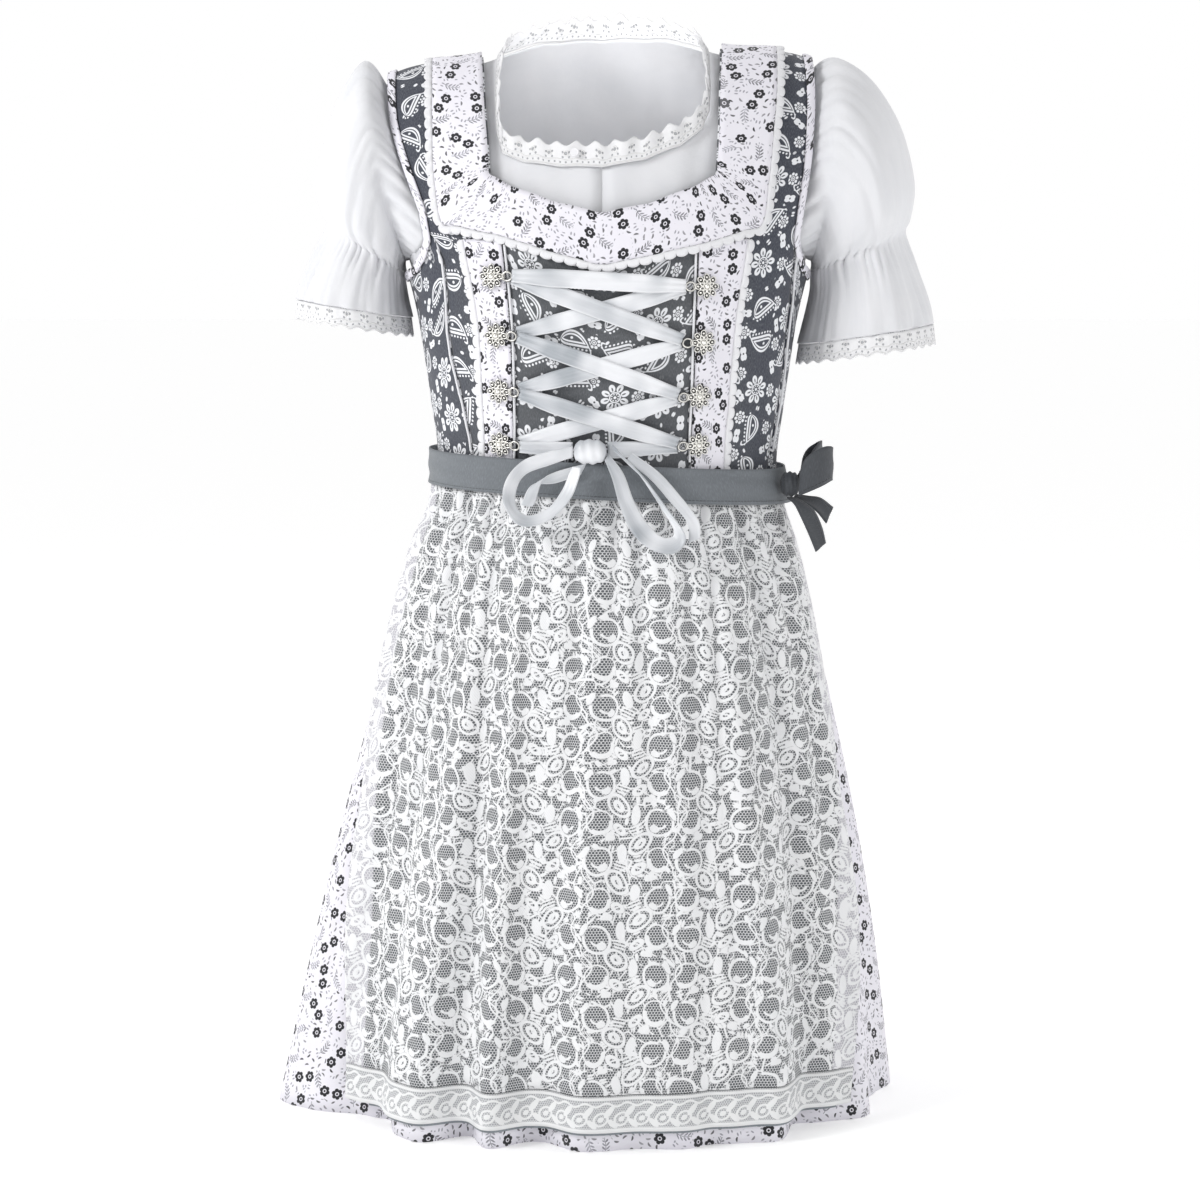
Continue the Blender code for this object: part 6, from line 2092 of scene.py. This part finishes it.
# The apron's bow at the viewer's right, in the same way.
BOW_KNOT = (128.4, -49.4, -292.7)
BOW_KNOT_SIZE = (6.5, 7.5, 8.5)
BOW_WALL = 1.0
BOW_LOOP_FRONT = (
    (135.0, -63.0, -284.0, 134.0, -61.0, -300.0),
    (138.0, -67.0, -274.0, 140.0, -64.0, -297.0),
    (147.0, -66.0, -267.5, 149.0, -63.0, -293.0),
    (154.0, -60.0, -266.0, 155.0, -58.0, -290.0),
    (156.5, -53.0, -268.0, 156.5, -52.0, -290.0),
    (152.0, -47.0, -271.0, 152.5, -47.5, -292.0),
    (144.0, -46.0, -276.0, 145.0, -47.0, -295.0),
    (135.3, -48.5, -284.0, 135.3, -49.0, -297.0),
)
BOW_LOOP_BACK = (
    (133.7, -44.1, -287.0, 133.7, -44.1, -298.0),
    (144.0, -34.0, -272.0, 144.5, -34.0, -296.0),
    (150.0, -22.0, -266.0, 150.5, -22.0, -291.0),
    (152.5, -10.0, -265.0, 153.0, -10.0, -289.0),
    (149.5, -3.0, -267.0, 150.0, -3.0, -290.0),
    (144.5, -6.0, -271.0, 145.0, -6.0, -292.0),
    (140.5, -18.0, -276.0, 141.0, -18.0, -294.0),
    (138.0, -30.0, -283.0, 138.0, -30.0, -296.0),
)
BOW_TAIL_FRONT = (
    (126.5, -54.5, -300.9, 132.0, -50.8, -301.2),
    (131.0, -61.5, -305.0, 138.5, -55.5, -304.5),
    (134.5, -67.0, -312.0, 145.0, -58.0, -310.0),
    (140.0, -69.5, -324.0, 150.0, -60.0, -321.0),
    (145.5, -71.0, -337.0, 152.5, -62.0, -332.0),
)
BOW_TAIL_BACK = (
    (130.6, -49.2, -302.1, 132.9, -43.3, -299.8),
    (139.5, -51.5, -305.5, 142.0, -41.5, -301.0),
    (147.0, -53.5, -311.0, 150.5, -41.0, -302.5),
    (153.5, -54.5, -319.0, 159.0, -42.5, -309.0),
)

# %% The apron's side bow
knot("apron_bow_knot", BOW_KNOT, BOW_KNOT_SIZE, bow_cloth, 0.4)
for part, table in (("loop_front", BOW_LOOP_FRONT), ("loop_back", BOW_LOOP_BACK),
                    ("tail_front", BOW_TAIL_FRONT), ("tail_back", BOW_TAIL_BACK)):
    piece = tape("apron_bow_" + part, table, 8, BOW_WALL, bow_cloth)
    declare(piece)

# %% [markdown]
# The lacing is one satin ribbon. Each run is narrow where it is drawn through a hook's eye and
# widens to its full width in between, so soft pleats start at the eyes and die away.

# %% Lacing ribbon
RUN_STEPS = 56
SHORT_RUN_STEPS = 24
for name, x0, z0, x1, z1, distance in RIBBON_RUNS:
    short = name.startswith("ribbon_run_4")
    steps = SHORT_RUN_STEPS if short else RUN_STEPS
    lines = [[] for _ in range(TAPE_COLUMNS + 1)]
    slope = math.atan2(z1 - z0, x1 - x0)
    for step in range(steps + 1):
        share = step / steps
        x = x0 + (x1 - x0) * share
        z = z0 + (z1 - z0) * share
        ends = min(share, 1.0 - share) * (4.0 if short else 8.0)
        if name == "ribbon_run_4_left":
            ends = share * 2.0
        if name == "ribbon_run_4_right":
            ends = (1.0 - share) * 2.0
        wide = min(1.0, ends * 0.5)
        wide = wide * wide * (3.0 - 2.0 * wide)
        width = RIBBON_END_WIDTH + (RIBBON_WIDTH - RIBBON_END_WIDTH) * wide
        for line in range(TAPE_COLUMNS + 1):
            part = line / TAPE_COLUMNS - 0.5
            aside = (-math.sin(slope) * width * part, math.cos(slope) * width * part)
            pleat = 0.55 * math.cos(part * 15.0 + 0.8) * (1.0 - 0.75 * wide)
            angle, level = front(x + aside[0], z + aside[1])
            reach = distance + pleat + ease(angle, level) + 0.25 * math.sin(share * 9.0)
            lines[line].append(outside(angle, level, reach))
    piece = cloth(name, lines, RIBBON_WALL)
    dress(piece, satin_ribbon, name)
    declare(piece)

knot("ribbon_knot", RIBBON_KNOT, RIBBON_KNOT_SIZE, satin_ribbon, 1.1)
for part, table in (("loop_left", RIBBON_LOOP_LEFT), ("loop_right", RIBBON_LOOP_RIGHT),
                    ("end_left", RIBBON_END_LEFT), ("end_right", RIBBON_END_RIGHT)):
    piece = tape("ribbon_" + part, table, 10, RIBBON_WALL, satin_ribbon, 0.9)
    declare(piece)

# %% [markdown]
# Each hook is a filigree rosette: a domed back plate, eight wire loops with a bead in each, a
# ring of small scrolls and a bead in the middle. A round eye towards the lacing takes the
# ribbon. One mesh is made and laid down eight times.

# %% Filigree hook
# The hooks: x and z of each rosette's middle.
HOOKS = (
    ("hook_left_1", -71.0, -151.5),
    ("hook_left_2", -68.0, -190.0),
    ("hook_left_3", -66.5, -227.0),
    ("hook_left_4", -66.0, -262.5),
    ("hook_right_1", 67.2, -158.0),
    ("hook_right_2", 65.2, -194.5),
    ("hook_right_3", 62.7, -230.5),
    ("hook_right_4", 62.4, -263.0),
)
HOOK_OUT = 5.4
PETALS = 8
PLATE_RADIUS = 7.0
# The back plate's rings: height, share of its radius.
PLATE_RINGS = ((0.0, 1.0), (0.6, 1.0), (1.0, 0.9), (1.5, 0.5), (1.7, 0.1))


def wire_loop(shape, middle, long, wide, thick, turn, steps=20):
    """An oval ring of round wire lying flat."""
    section = 6
    rings = []
    for step in range(steps):
        at = 2.0 * math.pi * step / steps
        spot = Vector((long * math.cos(at), wide * math.sin(at), 0.0))
        way = Vector((wide * math.cos(at), long * math.sin(at), 0.0)).normalized()
        ring = []
        for corner in range(section):
            round_at = 2.0 * math.pi * corner / section
            local = spot + way * (thick * math.cos(round_at))
            local.z += thick * math.sin(round_at)
            local = Matrix.Rotation(turn, 3, "Z") @ local
            ring.append(shape.verts.new((local + Vector(middle)) * MM))
        rings.append(ring)
    for step in range(steps):
        near = rings[step]
        far = rings[(step + 1) % steps]
        for corner in range(section):
            after = (corner + 1) % section
            shape.faces.new((near[corner], near[after], far[after], far[corner]))


def bead(shape, middle, radius):
    made = bmesh.ops.create_icosphere(shape, subdivisions=2, radius=radius * MM)
    bmesh.ops.translate(shape, verts=made["verts"], vec=Vector(middle) * MM)


def spoke(turn, reach, height):
    """A point at a reach from the hook's middle, in a direction, at a height."""
    out = Vector((math.cos(turn), math.sin(turn), 0.0))
    return out * reach + Vector((0.0, 0.0, height))


def hook_shape():
    shape = bmesh.new()
    around = 64
    loops = []
    for height, share in PLATE_RINGS:
        ring = []
        for step in range(around):
            turn = 2.0 * math.pi * step / around
            reach = (PLATE_RADIUS + 0.9 * math.cos(PETALS * turn)) * share
            ring.append(shape.verts.new(Vector((reach * math.cos(turn), reach * math.sin(turn),
                                                height)) * MM))
        loops.append(ring)
    for low, high in zip(loops, loops[1:]):
        for step in range(around):
            after = (step + 1) % around
            shape.faces.new((low[step], low[after], high[after], high[step]))
    shape.faces.new(loops[0][::-1])
    shape.faces.new(loops[-1])
    for petal in range(PETALS):
        turn = math.radians(360.0 / PETALS * petal)
        half = turn + math.radians(180.0 / PETALS)
        wire_loop(shape, spoke(turn, 6.0, 1.5), 2.2, 1.75, 0.42, turn)
        bead(shape, spoke(turn, 6.0, 1.5), 0.85)
        wire_loop(shape, spoke(half, 3.4, 2.0), 1.3, 0.95, 0.34, half, 14)
        bead(shape, spoke(half, 4.9, 1.7), 0.5)
    wire_loop(shape, (0.0, 0.0, 2.3), 2.3, 2.3, 0.34, 0.0)
    bead(shape, (0.0, 0.0, 2.3), 1.7)
    wire_loop(shape, (11.2, 0.0, 1.1), 3.3, 2.9, 0.75, 0.0, 28)
    wire_loop(shape, (8.1, 0.0, 1.2), 1.0, 2.1, 0.5, 0.0, 14)
    mesh = bpy.data.meshes.new("filigree_hook")
    shape.to_mesh(mesh)
    shape.free()
    mesh.shade_smooth()
    return mesh


hook_mesh = hook_shape()
for name, x, z in HOOKS:
    hook = bpy.data.objects.new(name + "_filigree", hook_mesh)
    bpy.context.scene.collection.objects.link(hook)
    lay_on_figure(hook, x, z, HOOK_OUT, 1.0 if x < 0 else -1.0)
    dress(hook, hook_silver, name)
print("faces in a hook:", len(hook_mesh.polygons))

# %% [markdown]
# A plain white floor and soft light from a white room, stronger behind the dress. One broad lamp
# from the upper left models the folds, a weaker one fills the right, and a small one lights the
# hollow neck.

# %% Floor and light
# Half the floor's width in metres, and its gap under the skirt's hem in millimetres.
FLOOR_HALF = 40.0
FLOOR_GAP = 0.3
FLOOR_SIGNS = ((-1, -1), (1, -1), (1, 1), (-1, 1))
floor_z = (SKIRT_HEM_Z - FLOOR_GAP) * MM
mesh = bpy.data.meshes.new("studio_floor")
mesh.from_pydata([(FLOOR_HALF * x, FLOOR_HALF * y, floor_z) for x, y in FLOOR_SIGNS],
                 [], [(0, 1, 2, 3)])
floor = bpy.data.objects.new("studio_floor", mesh)
bpy.context.scene.collection.objects.link(floor)
paper = bpy.data.materials.new("white_paper")
paper.use_nodes = True
shader = paper.node_tree.nodes["Principled BSDF"]
shader.inputs["Base Color"].default_value = (0.92, 0.92, 0.92, 1.0)
shader.inputs["Roughness"].default_value = 0.9
shader.inputs["Emission Color"].default_value = (1.0, 1.0, 1.0, 1.0)
shader.inputs["Emission Strength"].default_value = 0.30
floor.data.materials.append(paper)

room = bpy.data.worlds.new("white_room")
room.use_nodes = True
background = room.node_tree.nodes["Background"]
background.inputs["Color"].default_value = (1.0, 1.0, 1.0, 1.0)
depth = clamped(object_part(room.node_tree, "Generated", 1) * 1.2 + 0.6)
room.node_tree.links.new((depth * 0.60 + 0.40).socket, background.inputs["Strength"])
bpy.context.scene.world = room
bpy.context.scene.view_settings.view_transform = "Standard"


def soft_lamp(name, place, aim, width, power):
    data = bpy.data.lights.new(name, "AREA")
    data.shape = "SQUARE"
    data.size = width
    data.energy = power
    lamp = bpy.data.objects.new(name, data)
    lamp.location = place
    lamp.rotation_euler = (Vector(aim) - Vector(place)).to_track_quat("-Z", "Y").to_euler()
    bpy.context.scene.collection.objects.link(lamp)
    return lamp


soft_lamp("key_lamp", (-1.7, -1.1, 0.7), (0.0, 0.0, -0.35), 0.6, 24.0)
soft_lamp("fill_lamp", (1.5, -1.5, 0.2), (0.0, 0.0, -0.4), 1.0, 7.0)
soft_lamp("neck_lamp", (0.0, -0.03, -0.02), (0.0, 0.2, -0.06), 0.09, 0.06)
